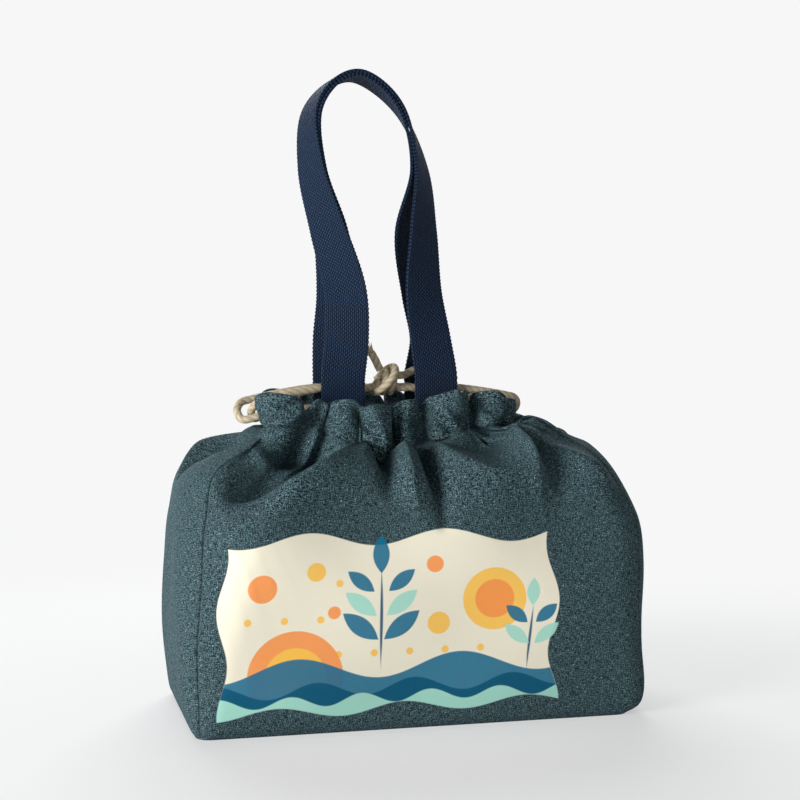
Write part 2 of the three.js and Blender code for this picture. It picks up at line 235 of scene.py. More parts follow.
cord_pieces = []

# %% [markdown]
# The route of a free cord repeats the stiff model's: straight out of the casing, round a leaning loop with
# a radius of two cord diameters, and level into the end of the knot.

# %% Free cords
LOOP_RADIUS = 9.0
LOOP_REACH = {"left": {"front": 76, "back": 68}, "right": {"front": 64, "back": 70}}
LOOP_RISE = {"left": -0.5, "right": 7}
SAG = {"left": {"front": 0, "back": 0}, "right": {"front": 9, "back": 0}}
CORNER = MOUTH_HALF[1] * 0.95


def cord_exit(side, place):
    """Middle of the cord where it leaves the casing, at the middle of the mouth's rounded corner."""
    flat = MOUTH_HALF - CORNER + (CORNER - CHANNEL) * math.sqrt(0.5)
    return np.array([MOUTH_SHIFT + SIDES[side] * flat[0], PLACES[place] * flat[1], CORD_HEIGHT[side]])


def free_route(side, place, count=90):
    """Places of one free cord: exit, a straight, four places round the loop, the sag, and the knot."""
    out, front = SIDES[side], PLACES[place]
    leaving = np.array([out, -front, 0]) * math.sqrt(0.5)
    start = cord_exit(side, place) + leaving * CLEARANCE
    turn = np.pi * np.array([0.25, 0.5, 0.75, 1])
    lean = math.sqrt(0.5) * LOOP_RADIUS * -np.cos(turn)
    loop = np.stack([
        MOUTH_SHIFT + out * (LOOP_REACH[side][place] + LOOP_RADIUS * np.sin(turn)),
        -front * lean,
        CORD_HEIGHT[side] + LOOP_RISE[side] + lean,
    ], axis=-1)
    end = KNOT + (out * (KNOT_HALF + CLEARANCE), -front * (CORD / 2 + CLEARANCE), -3)
    middle = (loop[-1] + end) / 2
    middle[2] = end[2] - SAG[side][place]
    before = end + (out * 2 * CORD, 0, 0)
    return smooth_route([start, start + leaving * CORD, *loop, middle, before, end], count)


cords = {}
for side in SIDES:
    for place in PLACES:
        route = free_route(side, place)
        across = unit(np.array([0, PLACES[place], 1.0]))
        cords[side, place] = cord_tube(f"drawcord_{side}_{place}", route, across), route
        print(side, place, "cord", round(line_length(route), 1), "mm")

# %% [markdown]
# ## Cloth of the bag
# The body is four walls of canvas sewn into a tube. It is laid out as one grid: columns run round the
# bag from the front left seam, rows run up the cloth from the base to the neck. Each row is a rounded
# rectangle with its own half width, half depth, height and shift to the right, because the filled bag
# bulges low on its right. Near the neck it goes into the pleats that the drawcords pull up.

# %% Rows of the body
STOPS = [
    (121, 60, 0, 0), (127, 63, 5.5, 2.8), (130.5, 66, 40, 2), (131, 66, 85, 2), (129.5, 62, 114, 1.5),
    (120, 52, 137, -1.5), (96.5, 37, 151, 0.5), (71, 21, NECK, MOUTH_SHIFT),
]
BASE_CORNER = 8.0
SHOULDER_CORNER = {"left": 45.0, "right": 26.0}
SHOULDER = 114.0
ROWS = 111
COLUMNS = {"front": 200, "right": 72, "back": 200, "left": 72}
TURN = {"front": 0.0, "right": np.pi / 2, "back": np.pi, "left": -np.pi / 2}
LONG_WALLS = ("front", "back")
CUT_HALF = {wall: 121.0 if wall in LONG_WALLS else 60.0 for wall in COLUMNS}
profile = smooth_route(STOPS, ROWS)
cloth_height = np.linspace(0, 1, ROWS) * line_length(profile)
cloth_top = cloth_height[-1]
shoulder_row = int(np.argmin(np.abs(profile[:, 2] - SHOULDER)))
gathering = ramp(cloth_height[shoulder_row], cloth_top, cloth_height)[:, None]
half_width, half_depth, height, shift = (profile[:, [column]] for column in range(4))
print("cloth from base to neck", round(cloth_top), "mm")


def corner_radius(wall, across):
    """Corner radius on each row and column: small at the base, and soon as large as at the shoulder,
    where the left corners are rounder than the right ones. At the neck all four are the mouth's."""
    side = -across if wall == "back" else across if wall == "front" else 2 * (wall == "right") - 1
    full = np.where(side < 0, SHOULDER_CORNER["left"], SHOULDER_CORNER["right"])
    radius = blend_values(BASE_CORNER, full, np.clip(height / SHOULDER, 0, 1) ** 0.6)
    return np.minimum(blend_values(radius, CORNER, gathering), half_depth * 0.95)


def turned(x, y, turn):
    """Level points turned about the upright axis."""
    cosine, sine = math.cos(turn), math.sin(turn)
    return np.stack([x * cosine - y * sine, x * sine + y * cosine], axis=-1)


def edge_places(wall, half_width, half_depth, radius, across, out):
    """Level points of one wall on many rows. across is the distance from the wall's middle as a share of
    half its edge, which is half a corner arc, a straight and half a corner arc. out is added to the
    corner's radius, so it moves a point straight out of the wall."""
    half_along, half_out = (half_width, half_depth) if wall in LONG_WALLS else (half_depth, half_width)
    straight = half_along - radius
    distance = across * (straight + radius * np.pi / 4)
    flat = np.clip(distance, -straight, straight)
    angle = (distance - flat) / radius
    x = flat + (radius + out) * np.sin(angle)
    y = radius - half_out - (radius + out) * np.cos(angle)
    return turned(x, y, TURN[wall])


def with_height(level, height):
    """Level points and heights as points in space."""
    return np.concatenate([level, np.broadcast_to(height, level.shape[:-1])[..., None]], axis=-1)


# %% [markdown]
# The drawcords push the cloth of the mouth into lobes. Each lobe is given by its middle along the mouth,
# its width, how far it stands out, the height of its top edge, how far it leans along the mouth and how
# far it droops over the neck. A listed set gives the uneven lobes of the real bag, which an even wave
# round the mouth would lack.

# %% Pleats at the neck
FRONT_LOBES = [
    (-61, 19, 11, 181, -5, 0), (-46.5, 7, 6, 178, 8, 0), (-32, 20, 10, 177, 9, 0), (-10, 22, 16, 174, -5, 9),
    (8.5, 14, 10, 176, -6, 4), (27.5, 21, 15, 182, 6, 5), (42, 6, 7, 182, -5, 0), (51, 12, 12, 181, 5, 1),
    (63.5, 9, 8, 176, 4, 0),
]
BACK_LOBES = [
    (-60, 11, 10, 181, 2, 2), (-46, 14, 12, 180, -3, 3), (-29, 16, 10, 182, 3, 2), (-12, 13, 13, 179, -2, 4),
    (4, 15, 11, 181, 3, 2), (21, 14, 12, 182, -2, 3), (38, 16, 10, 180, -3, 3), (55, 14, 12, 181, 2, 2),
]
SIDE_LOBES = [(-9.5, 5, 5, NECK, 0, 0), (0, 7, 6, NECK, 0, 0), (9.5, 5, 5, NECK, 0, 0)]
LOBES = {"front": FRONT_LOBES, "right": SIDE_LOBES, "back": BACK_LOBES, "left": SIDE_LOBES}
NECK_HALF = {wall: MOUTH_HALF[0 if wall in LONG_WALLS else 1] - CORNER * (1 - np.pi / 4) for wall in COLUMNS}
NECK_DIP = {"front": 12.0, "back": 5.0, "left": 0.0, "right": 0.0}
DIP_MIDDLE, DIP_WIDTH = -6.0, 30.0
VALLEY = -1.6
DROOP_TUCK = 0.055
NECK_NARROWING = 1.6


def lobe_columns(wall):
    """Middles, widths, reaches, tops, leans and droops of a wall's lobes."""
    return np.array(LOBES[wall], float).T


def pleated_edge(wall):
    """Evenly spaced places (along, out) on the pleated mouth of a wall, from seam to seam. Each lobe
    has a round front of three places, and the edge drops below the neck line between two lobes."""
    middle, width, out, _, lean, _ = lobe_columns(wall)
    front = [np.stack([middle + 0.4 * lean + side * width * 0.42, out * share], axis=-1)
             for side, share in ((-1, 0.78), (0, 1.0), (1, 0.78))]
    between = (middle[:-1] + width[:-1] / 2 + middle[1:] - width[1:] / 2) / 2
    valleys = np.stack([between, np.full(len(between), VALLEY)], axis=-1)
    half = NECK_HALF[wall]
    order = np.argsort(np.concatenate([middle - 0.1, middle, middle + 0.1, between]), kind="stable")
    knots = np.concatenate([*front, valleys])[order]
    return smooth_route([[-half, 0], *knots, [half, 0]], COLUMNS[wall] + 1)


def lobe_reach(wall, share):
    """How far the pleated edge stands out at a share of the way from the neck to the top. Each lobe keeps
    its own peak, and the rest of it is raised to a power that falls to 1 at the top, so that it narrows
    towards the neck."""
    along, out = pleats[wall].T
    middle, width, peaks = lobe_columns(wall)[:3]
    peak = peaks[np.argmin(np.abs(along[:, None] - middle) / width, axis=1)]
    power = 1 + NECK_NARROWING * (1 - ramp(0, 0.8, share))
    return np.where(out > 0, peak * np.clip(out / peak, 0, 1.1) ** power, out)


def neck_tuck(wall):
    """How much of each lobe is left at the neck. A lobe that droops is tucked in under itself, and one
    that doesn't runs straight on into the roof."""
    middle, droops = lobe_columns(wall)[[0, 5]]
    return np.interp(pleats[wall][:, 0], middle, 1 - DROOP_TUCK * droops)


def neck_height(wall, along):
    """The neck hangs lower in the middle of the front and back, as a bell curve along the mouth."""
    return NECK - NECK_DIP[wall] * np.exp(-((along - DIP_MIDDLE) / DIP_WIDTH) ** 2)


pleats = {wall: pleated_edge(wall) for wall in COLUMNS}
for wall, edge in pleats.items():
    print(wall, "has", len(LOBES[wall]), "lobes and", round(line_length(edge)), "mm of cloth at the mouth")

# %% [markdown]
# Under the mouth the slack cloth falls into a few long folds. Each is a line as seen from the front, with
# a height at every place of it and a width on either side: one steep side and one soft side make a crease
# that turns over, a negative height makes a hollow. Lines run down from the mouth or to the right.

# %% Folds of the roof
FRONT_FOLDS = [
    ([(-19, 155, 9), (-40, 145, 14), (-60, 133, 15), (-76, 124, 15), (-88, 117, 12), (-102, 111, 7),
      (-114, 108, 0)], 22, 6.5),
    ([(-30, 163, -20), (-50, 153, -26), (-72, 143, -25), (-92, 133, -15), (-112, 124, 0)], 8, 17),
    ([(-92, 156, 0), (-82, 149, 8), (-72, 147, 11), (-60, 149, 9), (-51, 157, 0)], 4, 9),
    ([(-84, 160, -6), (-68, 159, -13), (-55, 162, -8)], 5, 5),
    ([(-17, 160, -20), (-17, 150, -22), (-17, 138, -10), (-16, 122, 0)], 5.5, 5.5),
    ([(-6, 156, 6), (-7, 136, 9), (-2, 116, 2)], 6, 5),
    ([(4, 162, -18), (6, 143, -19), (10, 126, -10), (13, 106, 0)], 5, 4),
    ([(10, 151, 6), (17, 142, 10), (28, 135, 12), (42, 130, 12), (54, 133, 8), (63, 139, 3)], 8, 16),
    ([(17, 160, -8), (30, 156, -12), (43, 153, -12), (54, 154, -6)], 8, 8),
    ([(55, 160, 4), (60, 147, 10), (64, 136, 10), (68, 122, 2)], 3.5, 9),
    ([(64, 158, -4), (69, 147, -10), (75, 137, -8), (84, 120, 0)], 14, 4),
    ([(54, 158, 4), (74, 148, 9), (93, 137, 10), (104, 132, 7), (115, 126, 2)], 5, 10),
    ([(72, 162, -5), (92, 154, -10), (108, 146, -5)], 6, 6),
]
MOUTH_FOLDS = [
    ([(-80, 162, 3), (-66, 165, 7), (-55, 172, 6), (-49, 179, 2)], 3, 3.5),
    ([(-78, 169, -2), (-66, 172, -5), (-58, 178, -3)], 3, 3),
    ([(-47, 176, -3), (-50, 167, -7), (-56, 157, -8)], 2.8, 2.8),
    ([(-29, 173, -2), (-26, 165, -7), (-20, 159, -9), (-13, 157, -4)], 2.4, 3),
    ([(-20, 169, 2), (-15, 157, 5), (-14, 149, 5)], 4, 4),
    ([(-3, 172, -4), (-6, 162, -6), (-8, 152, -5)], 2.4, 3),
    ([(7, 173, -2), (4, 163, -6), (9, 156, -8)], 2.6, 2.6),
    ([(14, 177, -3), (17, 167, -7), (23, 160, -10), (30, 152, -8)], 2.6, 3.4),
    ([(24, 170, -3), (31, 164, -6), (36, 158, -5)], 2.4, 2.4),
    ([(40, 181, -4), (43, 173, -7), (51, 169, -5)], 2.4, 2.6),
]
CREST = 1.2
SIDE_HOLLOW, HOLLOW_EDGE = 26.0, 11.0
SIDE_RIDGE, RIDGE_WIDTH, RIDGE_ROUND = 5.0, 8.0, 4.0
RIDGE_START, RIDGE_SPREAD, RIDGE_BIAS, BIAS_DEPTH = 0.12, 45.0, 0.7, 20.0
SEAM_FADE = 16.0
BACK_SHARE = 0.8


def fold_height(across, up, places, left, right):
    """Height of one fold over the cloth. It is highest on the line through the places, and falls off on
    either side by its own width: a ridge as an exponential with a rounded crest, a hollow as a bell."""
    here = np.stack(np.broadcast_arrays(across, up), axis=-1)
    nearest = np.full(here.shape[:-1], np.inf)
    side = np.zeros(here.shape[:-1])
    height = np.zeros(here.shape[:-1])
    line = smooth_route(places, 16)
    for a, b in zip(line[:-1], line[1:]):
        ahead = (b - a)[:2]
        share = np.clip(((here - a[:2]) @ ahead) / (ahead @ ahead), 0, 1)
        apart = here - a[:2] - share[..., None] * ahead
        distance = np.linalg.norm(apart, axis=-1)
        closer = distance < nearest
        side = np.where(closer, ahead[0] * apart[..., 1] - ahead[1] * apart[..., 0], side)
        height = np.where(closer, blend_values(a[2], b[2], share), height)
        nearest = np.minimum(distance, nearest)
    width = np.where(side > 0, left, right)
    ridge = np.exp((CREST - np.hypot(nearest, CREST)) / width)
    return height * np.where(height > 0, ridge, np.exp(-((nearest / width) ** 2)))


def wall_folds(wall, across, level, height):
    """How far the folds of a wall move its cloth out. The back has the front's folds, seen in a mirror,
    and a little flatter. The top of each side is pushed in between two ridges, which start together at
    its middle and part until they reach the corners of the mouth."""
    roof = np.sin(np.pi * gathering**0.7)
    ridge_share = np.clip((gathering - RIDGE_START) / (1 - RIDGE_START), 0, 1) ** 0.6
    from_seam = (1 - np.abs(across)) * CUT_HALF[wall]
    inside = (ridge_share - np.abs(across)) * RIDGE_SPREAD
    if wall in LONG_WALLS:
        inside = (ridge_share - 1) * RIDGE_SPREAD - from_seam
    bias = 1 + RIDGE_BIAS * np.clip(level[..., 1] / BIAS_DEPTH, -1, 1)
    ridge = SIDE_RIDGE * bias * ramp(RIDGE_START, 0.7, gathering)
    folds = ridge * np.exp((RIDGE_ROUND - np.hypot(inside, RIDGE_ROUND)) / RIDGE_WIDTH) * roof
    folds = folds - SIDE_HOLLOW * (1 - np.exp(-(np.maximum(inside, 0) / HOLLOW_EDGE) ** 1.5)) * roof
    if wall not in LONG_WALLS:
        return folds
    mirror, share = (1, 1.0) if wall == "front" else (-1, BACK_SHARE)
    slack = sum(fold_height(mirror * level[..., 0], height, *fold) for fold in FRONT_FOLDS)
    return folds + share * slack * ramp(0, SEAM_FADE, from_seam)


def ripples(level, height):
    """Small unevenness of filled cloth: a sum of slow waves across and up, about a millimetre high."""
    x, y = level[..., 0] + level[..., 1], level[..., 0] - level[..., 1]
    slow = np.sin(x / 23 + height / 31) + np.sin(y / 17 - height / 19 + 2)
    slow = slow + np.sin(x / 11 - y / 29 + height / 13)
    return 0.5 * slow * ramp(0, 25, height)


print(len(FRONT_FOLDS), "folds under the mouth and", len(MOUTH_FOLDS), "creases in it")

# %% [markdown]
# A wall is first laid out plain, to know where each point of the cloth is, and then again with the folds
# there. A fold moves the cloth out and up at once, so that a high crest stands over the hollow behind it,
# which moving it straight out can't do.

# %% Shape of the walls
FOLD_OUT, FOLD_UP = 0.9, 0.7
TILT = 3.0
SIDE_ROLL, ROLL_PLACE, ROLL_WIDTH = 8.0, 76.0, 16.0
walls = {}
for wall, columns in COLUMNS.items():
    even = np.linspace(-1, 1, columns + 1)[None, :]
    along = pleats[wall][:, 0]
    across = blend_values(even, along / NECK_HALF[wall], gathering**2)
    pleat = lobe_reach(wall, 0.0) * neck_tuck(wall) * gathering**2
    radius = corner_radius(wall, even)
    plain = edge_places(wall, half_width, half_depth, radius, across, pleat)
    plain[..., 0] += shift
    drop = (neck_height(wall, along) - NECK) * gathering**2
    fold = wall_folds(wall, even, plain, height + drop) * (1 - gathering**12)
    uneven = ripples(plain, height) * (1 - gathering)
    level = edge_places(wall, half_width, half_depth, radius, across, pleat + FOLD_OUT * fold + uneven)
    level[..., 0] += shift
    tilt = TILT * ramp(-20, 100, plain[..., 0]) * np.sin(np.pi * gathering)
    roll = SIDE_ROLL * np.exp(-((plain[..., 0] - ROLL_PLACE) / ROLL_WIDTH) ** 2)
    tilt = tilt + roll * ramp(0.5, 0.85, gathering) * ramp(1, 0.95, gathering)
    walls[wall] = with_height(level, height + drop + tilt + FOLD_UP * fold * ramp(0.0, 0.1, gathering))

# One grid of all four walls has each seam column once
body = np.concatenate([walls[wall][:, :-1] for wall in COLUMNS], axis=1)
print("cloth tube of", body.shape[:2], "points")

# %% [markdown]
# ## Hemmed mouth
# Above the neck the front and back panels are turned in: the top edge folds over, comes down inside as
# a hem, and leaves the channel for the cords. Rows that go up outside and down inside make that fold.

# %% Heading and hem
HEM_GAP = 2.6
HEM_DEPTH = CANVAS + CORD + CASING_PLAY
PUFF = 1.5
VALLEY_DROP = 5.0
TOP_VALLEY = 1.5
ROUND_TOP = 3.0
DROOP_SHARE, DROOP_WIDTH = 0.14, 0.13
OUTSIDE_ROWS = [(share, 0) for share in np.linspace(0.03, 0.95, 21)] + [(0.975, 0.2), (0.99, 0.6)]
INSIDE_ROWS = [
    (1.0, 1.3), (0.99, HEM_GAP - 0.6), (0.975, HEM_GAP - 0.2), (0.94, HEM_GAP), (0.84, HEM_GAP),
    (0.72, HEM_GAP + 0.8), (0.6, HEM_DEPTH - 1), (0.45, HEM_DEPTH), (0.25, HEM_DEPTH), (0.1, HEM_DEPTH),
]


def heading(wall):
    """Rows of the turned-in mouth. Each row is a share of the way from the neck to the top edge and a
    depth under the outside. Outside, the lobes leave the tucked neck, puff out as a half sine and droop.
    Inside, the pleats die away down the hem."""
    along, out = pleats[wall].T
    middle, width, _, tops, leans, droops = lobe_columns(wall)
    weight = np.clip(out / 10, 0, 1.3)
    from_middle = np.min(np.abs(along[:, None] - middle) / width * 2, axis=1)
    top = np.interp(along, middle, tops) - VALLEY_DROP * (1 - np.clip(out / 8, 0, 1)) ** 2
    top = top - ROUND_TOP * np.clip(from_middle, 0, 1) ** 2
    droop = np.interp(along, middle, droops) * weight
    lean = np.interp(along, middle, leans) * weight
    bottom = neck_height(wall, along)
    share, depth = np.array(OUTSIDE_ROWS + INSIDE_ROWS).T[..., None]
    outside = (np.arange(len(share)) < len(OUTSIDE_ROWS))[:, None]
    lobe_kept = blend_values(neck_tuck(wall), 1.0, ramp(0, 0.35, share))
    hem_kept = blend_values(0.1, 1.0, ramp(0.45, 0.85, share))
    kept = np.where(outside, lobe_kept, hem_kept)
    out = lobe_reach(wall, share) - TOP_VALLEY * (1 - np.clip(out / 6, 0, 1)) * ramp(0.55, 0.9, share)
    puff = PUFF * weight * np.sin(np.pi * share**0.8) * np.where(outside, 1.0, ramp(0.5, 0.9, share))
    across = (along + lean * (share - 0.3)) / NECK_HALF[wall]
    sag = droop * np.exp(-((share - DROOP_SHARE) / DROOP_WIDTH) ** 2) * outside
    height = bottom + (top - bottom) * share - sag
    level = edge_places(wall, *MOUTH_HALF, CORNER, across, out * kept + puff)
    mirror = 1 if wall == "front" else -1
    crease = sum(fold_height(mirror * (level[..., 0] + MOUTH_SHIFT), height, *fold) for fold in MOUTH_FOLDS)
    crease = crease * np.where(outside, ramp(0.0, 0.3, share), ramp(0.7, 0.9, share))
    outer = np.maximum(out * kept + puff + crease, VALLEY - TOP_VALLEY * ramp(0.55, 0.9, share))
    level = edge_places(wall, *MOUTH_HALF, CORNER, across, outer - depth)
    level[..., 0] += MOUTH_SHIFT
    return with_height(level, height)


headings = {wall: heading(wall) for wall in LONG_WALLS}
for wall, rows in headings.items():
    print(wall, "heading stands", round(float(rows[..., 2].max()), 1), "mm high")

# %% [markdown]
# ## Panels
# The tube is parted at its four seams. The seam columns sink a little, as sewn edges do, and the bottom row
# lies flat on the floor. Solidify gives each panel the thickness of its cloth.

# %% Panels
PANELS = {"front": "front_panel", "back": "back_panel", "left": "left_gusset", "right": "right_gusset"}
SEAM_SINK, SEAM_START = 0.6, 10.0
SHEET = {"canvas": 0.9, "lining": 0.4}
wall_start = dict(zip(COLUMNS, np.cumsum([0] + list(COLUMNS.values()))))


def cloth_normals(grid):
    """Outward direction at each point of a tube grid, from the steps to its neighbours round and up."""
    round_step = np.roll(grid, -1, axis=1) - np.roll(grid, 1, axis=1)
    return unit(np.cross(round_step, np.gradient(grid, axis=0)))


def wall_rows(grid, wall):
    """The columns of one wall, both of its seams among them."""
    return grid[:, (wall_start[wall] + np.arange(COLUMNS[wall] + 1)) % grid.shape[1]]


def add_sheet(name, rows, flat_map, node, slot):
    """A grid of cloth with the thickness of its slot, in place of a node of the stiff model."""
    sheet = add_mesh(name, rows, grid_faces(*rows.shape[:2]), flat_map)
    thick = sheet.modifiers.new("thickness", "SOLIDIFY")
    thick.thickness = SHEET[slot] * MM
    thick.offset = -1
    dress(sheet, slot, node)
    print(sheet.name, "is a grid of", rows.shape[:2])
    return sheet


def add_wall(name, rows, up, wall, node, slot):
    """A wall of cloth, mapped by the distance from its middle line and the height up the cloth."""
    across = np.linspace(-1, 1, rows.shape[1]) * CUT_HALF[wall]
    return add_sheet(name, rows, np.stack(np.meshgrid(across, up), axis=-1), node, slot)


outward = cloth_normals(body)
seams = [int(wall_start[wall]) for wall in COLUMNS]
body[:, seams] -= SEAM_SINK * ramp(0, SEAM_START, cloth_height)[:, None, None] * outward[:, seams]
body[0, :, 2] = 0
panels = {}
for wall, node in PANELS.items():
    rows, up = wall_rows(body, wall), cloth_height
    if wall in LONG_WALLS:
        rows = np.concatenate([rows, headings[wall]])
        steps = np.linalg.norm(np.diff(rows[ROWS - 1:], axis=0), axis=-1).mean(axis=1)
        up = np.concatenate([up, cloth_top + np.cumsum(steps)])
    panels[wall] = add_wall(f"{node}_cloth", rows, up, wall, node, "canvas")

# %% [markdown]
# ## Lining and base
# The lining hangs just inside the canvas, so it is the same cloth moved in along its normals. It ends above
# the shoulder, because the deep folds of the roof would cut through it. The base is a patch between the
# four bottom edges: the two blends of opposite edges, less the blend of corners.

# %% Lining
LINING_GAP = 2.0
LINING_END = 0.1
lining_rows = int((gathering[:, 0] < LINING_END).sum())
lining_up = cloth_height[:lining_rows]
lining_body = (body - LINING_GAP * outward)[:lining_rows]
linings = []
for wall in COLUMNS:
    node = f"lining_{wall}"
    linings.append(add_wall(f"{node}_cloth", wall_rows(lining_body, wall), lining_up, wall, node, "lining"))

# %% Base
BASE_LIFT = 1.5


def base_patch(ring, lift):
    """Patch over the bottom ring: front and back edges blended in depth, plus left and right edges
    blended in width, less the blend of the four corners, and raised in the middle by lift."""
    front, right, back, left = (wall_rows(ring[None], wall)[0] for wall in COLUMNS)
    back, left = back[::-1], left[::-1]
    u = np.linspace(0, 1, len(front))[None, :, None]
    v = np.linspace(0, 1, len(left))[:, None, None]
    patch = (1 - v) * front[None] + v * back[None] + (1 - u) * left[:, None] + u * right[:, None]
    corners = (1 - v) * ((1 - u) * front[0] + u * front[-1]) + v * ((1 - u) * back[0] + u * back[-1])
    return patch - corners + lift * 16 * u * (1 - u) * v * (1 - v) * np.array([0, 0, 1])


def add_base(ring, node, slot):
    """A level panel of cloth. A patch's rows run to the back, so the other order makes it face down."""
    patch = base_patch(ring, BASE_LIFT)[::-1]
    return add_sheet(f"{node}_cloth", patch, patch[..., :2], node, slot)


base = add_base(body[0], "base_panel", "canvas")
linings.append(add_base(lining_body[0] + (0, 0, LINING_GAP), "lining_base", "lining"))

# %% [markdown]
# ## Handles
# Each handle is one length of ribbed webbing whose two ends are sewn inside the hem. The back loop lies
# close inside the front one at the top, bows out low down and bulges in at the waist, so that a strip of
# it shows beside each leg. The same route for both would hide one strap behind the other.

# %% Route of a handle
STRAP_WIDTH = 25.0
STRAP_THICKNESS = 2.0
HINGE = np.array([MOUTH_SHIFT, 12.0, HEADING_TOP + CLEARANCE + STRAP_THICKNESS / 2])
HANDLE_RISE = 178.0
SEWN, OVER_HEM = 20.0, CLEARANCE + STRAP_THICKNESS / 2
SPACING, WAIST, BELLY = 54.0, 45.0, 62.0
HANDLE_LEAN = {"left": -15.5, "top": -18.0, "right": -12.5}
NEST_TOP = 2.15
BACK_SPREAD = {"left": 2.0, "right": 6.0}
NEST_SIDE = 1.9
BACK_BULGE = {"left": 3.0, "right": 4.5}
BULGE_SHARE, BULGE_WIDTH = 0.45, 0.13
LOOP_SHARES = np.array([0, 0.03, 0.15, 0.3, 0.5, 0.7, 0.88, 0.97])
LOOP_SPACING = np.array([
    SPACING, SPACING, blend_values(SPACING, WAIST, 0.6), WAIST,
    blend_values(WAIST, BELLY, 0.55), BELLY, BELLY * 0.86, BELLY * 0.44,
])


def handle_route(place):
    """Middle line of a handle, relative to its hinge: a straight sewn end, a leg that narrows to the
    waist and widens to the belly, the top, and the other leg back down. The back one is nested, bowed
    and bulged by shares of the way up that are 0 for the front one."""
    front = PLACES[place]
    back = place == "back"
    rise = HANDLE_RISE - STRAP_THICKNESS - NEST_TOP * back
    nested = back * ramp(0.1, 0.5, LOOP_SHARES) * np.minimum(LOOP_SPACING / WAIST, 1)
    bow = back * ramp(0.03, 0.15, LOOP_SHARES) * (1 - ramp(0.25, 0.5, LOOP_SHARES))
    waist = back * np.exp(-(((LOOP_SHARES - BULGE_SHARE) / BULGE_WIDTH) ** 2))
    inward = -front * HINGE[1] * ramp(0.2, 0.85, LOOP_SHARES)
    legs = {}
    for side, out in SIDES.items():
        lean = blend_values(HANDLE_LEAN[side], HANDLE_LEAN["top"], ramp(0.7, 1, LOOP_SHARES))
        spread = LOOP_SPACING / 2 - nested * NEST_SIDE + bow * BACK_SPREAD[side] - waist * BACK_BULGE[side]
        x = out * spread + lean * ramp(0.03, 1, LOOP_SHARES)
        legs[side] = np.stack([x, inward, rise * LOOP_SHARES], axis=-1)
    top = [HANDLE_LEAN["top"], -front * HINGE[1], rise]
    loop = smooth_route([*legs["left"], top, *legs["right"][::-1]], 801)
    down = np.linspace(-SEWN - OVER_HEM, 0, 14, endpoint=False)[:, None] * (0, 0, 1)
    return np.concatenate([legs["left"][0] + down, loop, legs["right"][0] + down[::-1]])


handle_routes = {place: handle_route(place) for place in PLACES}
for place, route in handle_routes.items():
    print(place, "handle is", round(line_length(route)), "mm long")

# %% [markdown]
# The section is a flat bar with rounded edges, carried along the route and turned from flat at the hem to
# edge on at the top. Its edges swell a little at each stitch of the weave.

# %% Webbing handles
CHAIN, CHAIN_SWELL = 2.2, 0.016
TURN_GROWTH = {"left": 0.85, "right": 1.15}


def bar_section(width, thickness, edge=0.7, steps=4):
    """Outline of a flat bar with rounded corners as pairs of (across, through)."""
    arc = np.linspace(0, np.pi / 2, steps)
    corner = np.stack([np.cos(arc), np.sin(arc)], axis=-1) * edge
    middle = np.array([width / 2 - edge, thickness / 2 - edge])
    quarters = [corner * (1, 1) + middle, corner[::-1] * (-1, 1) + middle * (-1, 1)]
    quarters += [corner * (-1, -1) - middle, corner[::-1] * (1, -1) + middle * (1, -1)]
    flats = np.linspace(1, -1, 10)[1:-1, None] * (middle[0], 0)
    top, bottom = flats + (0, thickness / 2), flats[::-1] - (0, thickness / 2)
    return np.concatenate([quarters[0], top, quarters[1], quarters[2], bottom, quarters[3]])


handles = {}
for place, front in PLACES.items():
    route = handle_routes[place]
    ahead = unit(np.gradient(route, axis=0))
    half = np.arange(len(route)) < len(route) / 2
    growth = np.where(half, TURN_GROWTH["left"], TURN_GROWTH["right"])
    turn = np.pi / 2 * np.clip(route[:, 2] / route[:, 2].max(), 0, 1) ** growth
    across = np.stack([np.where(half, 1, -1) * np.cos(turn), -np.sin(turn), 0 * turn], axis=-1)
    across = unit(across - (across * ahead).sum(axis=1, keepdims=True) * ahead)
    through = np.cross(ahead, across)
    outline = bar_section(STRAP_WIDTH, STRAP_THICKNESS)
    along = distances(route)
    edge = 1 + CHAIN_SWELL * np.sin(2 * np.pi * along / CHAIN)[:, None, None]
    points = route[:, None] + outline[None, :, :1] * edge * across[:, None]
    hinge = HINGE * (1, front, 1)
    points = points + outline[None, :, 1:] * through[:, None] + hinge
    flat_map = np.stack(np.broadcast_arrays(outline[None, :, 0], along[:, None]), axis=-1)
    handle = add_mesh(f"{place}_webbing", points, tube_faces(len(route), len(outline)), flat_map)
    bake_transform(handle)
    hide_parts(f"{place}_handle", f"{place}_handle_end_left", f"{place}_handle_end_right")
    handles[place] = handle
    print(handle.name, "has", len(handle.data.polygons), "faces")

# %% [markdown]
# ## Cords in the casing and the knot
# Inside the casing each cord goes round three sides of the mouth, from one of its exits to the other. It
# lies between the canvas and the hem. The two cords are tied over the mouth in one knot: turns of cord
# wrapped about the strands, and a turn that crosses over them.

# %% Cord runs
RUN_WALLS = {"left": ("front", "right", "back"), "right": ("back", "left", "front")}
RUN_DEPTH = 4.7


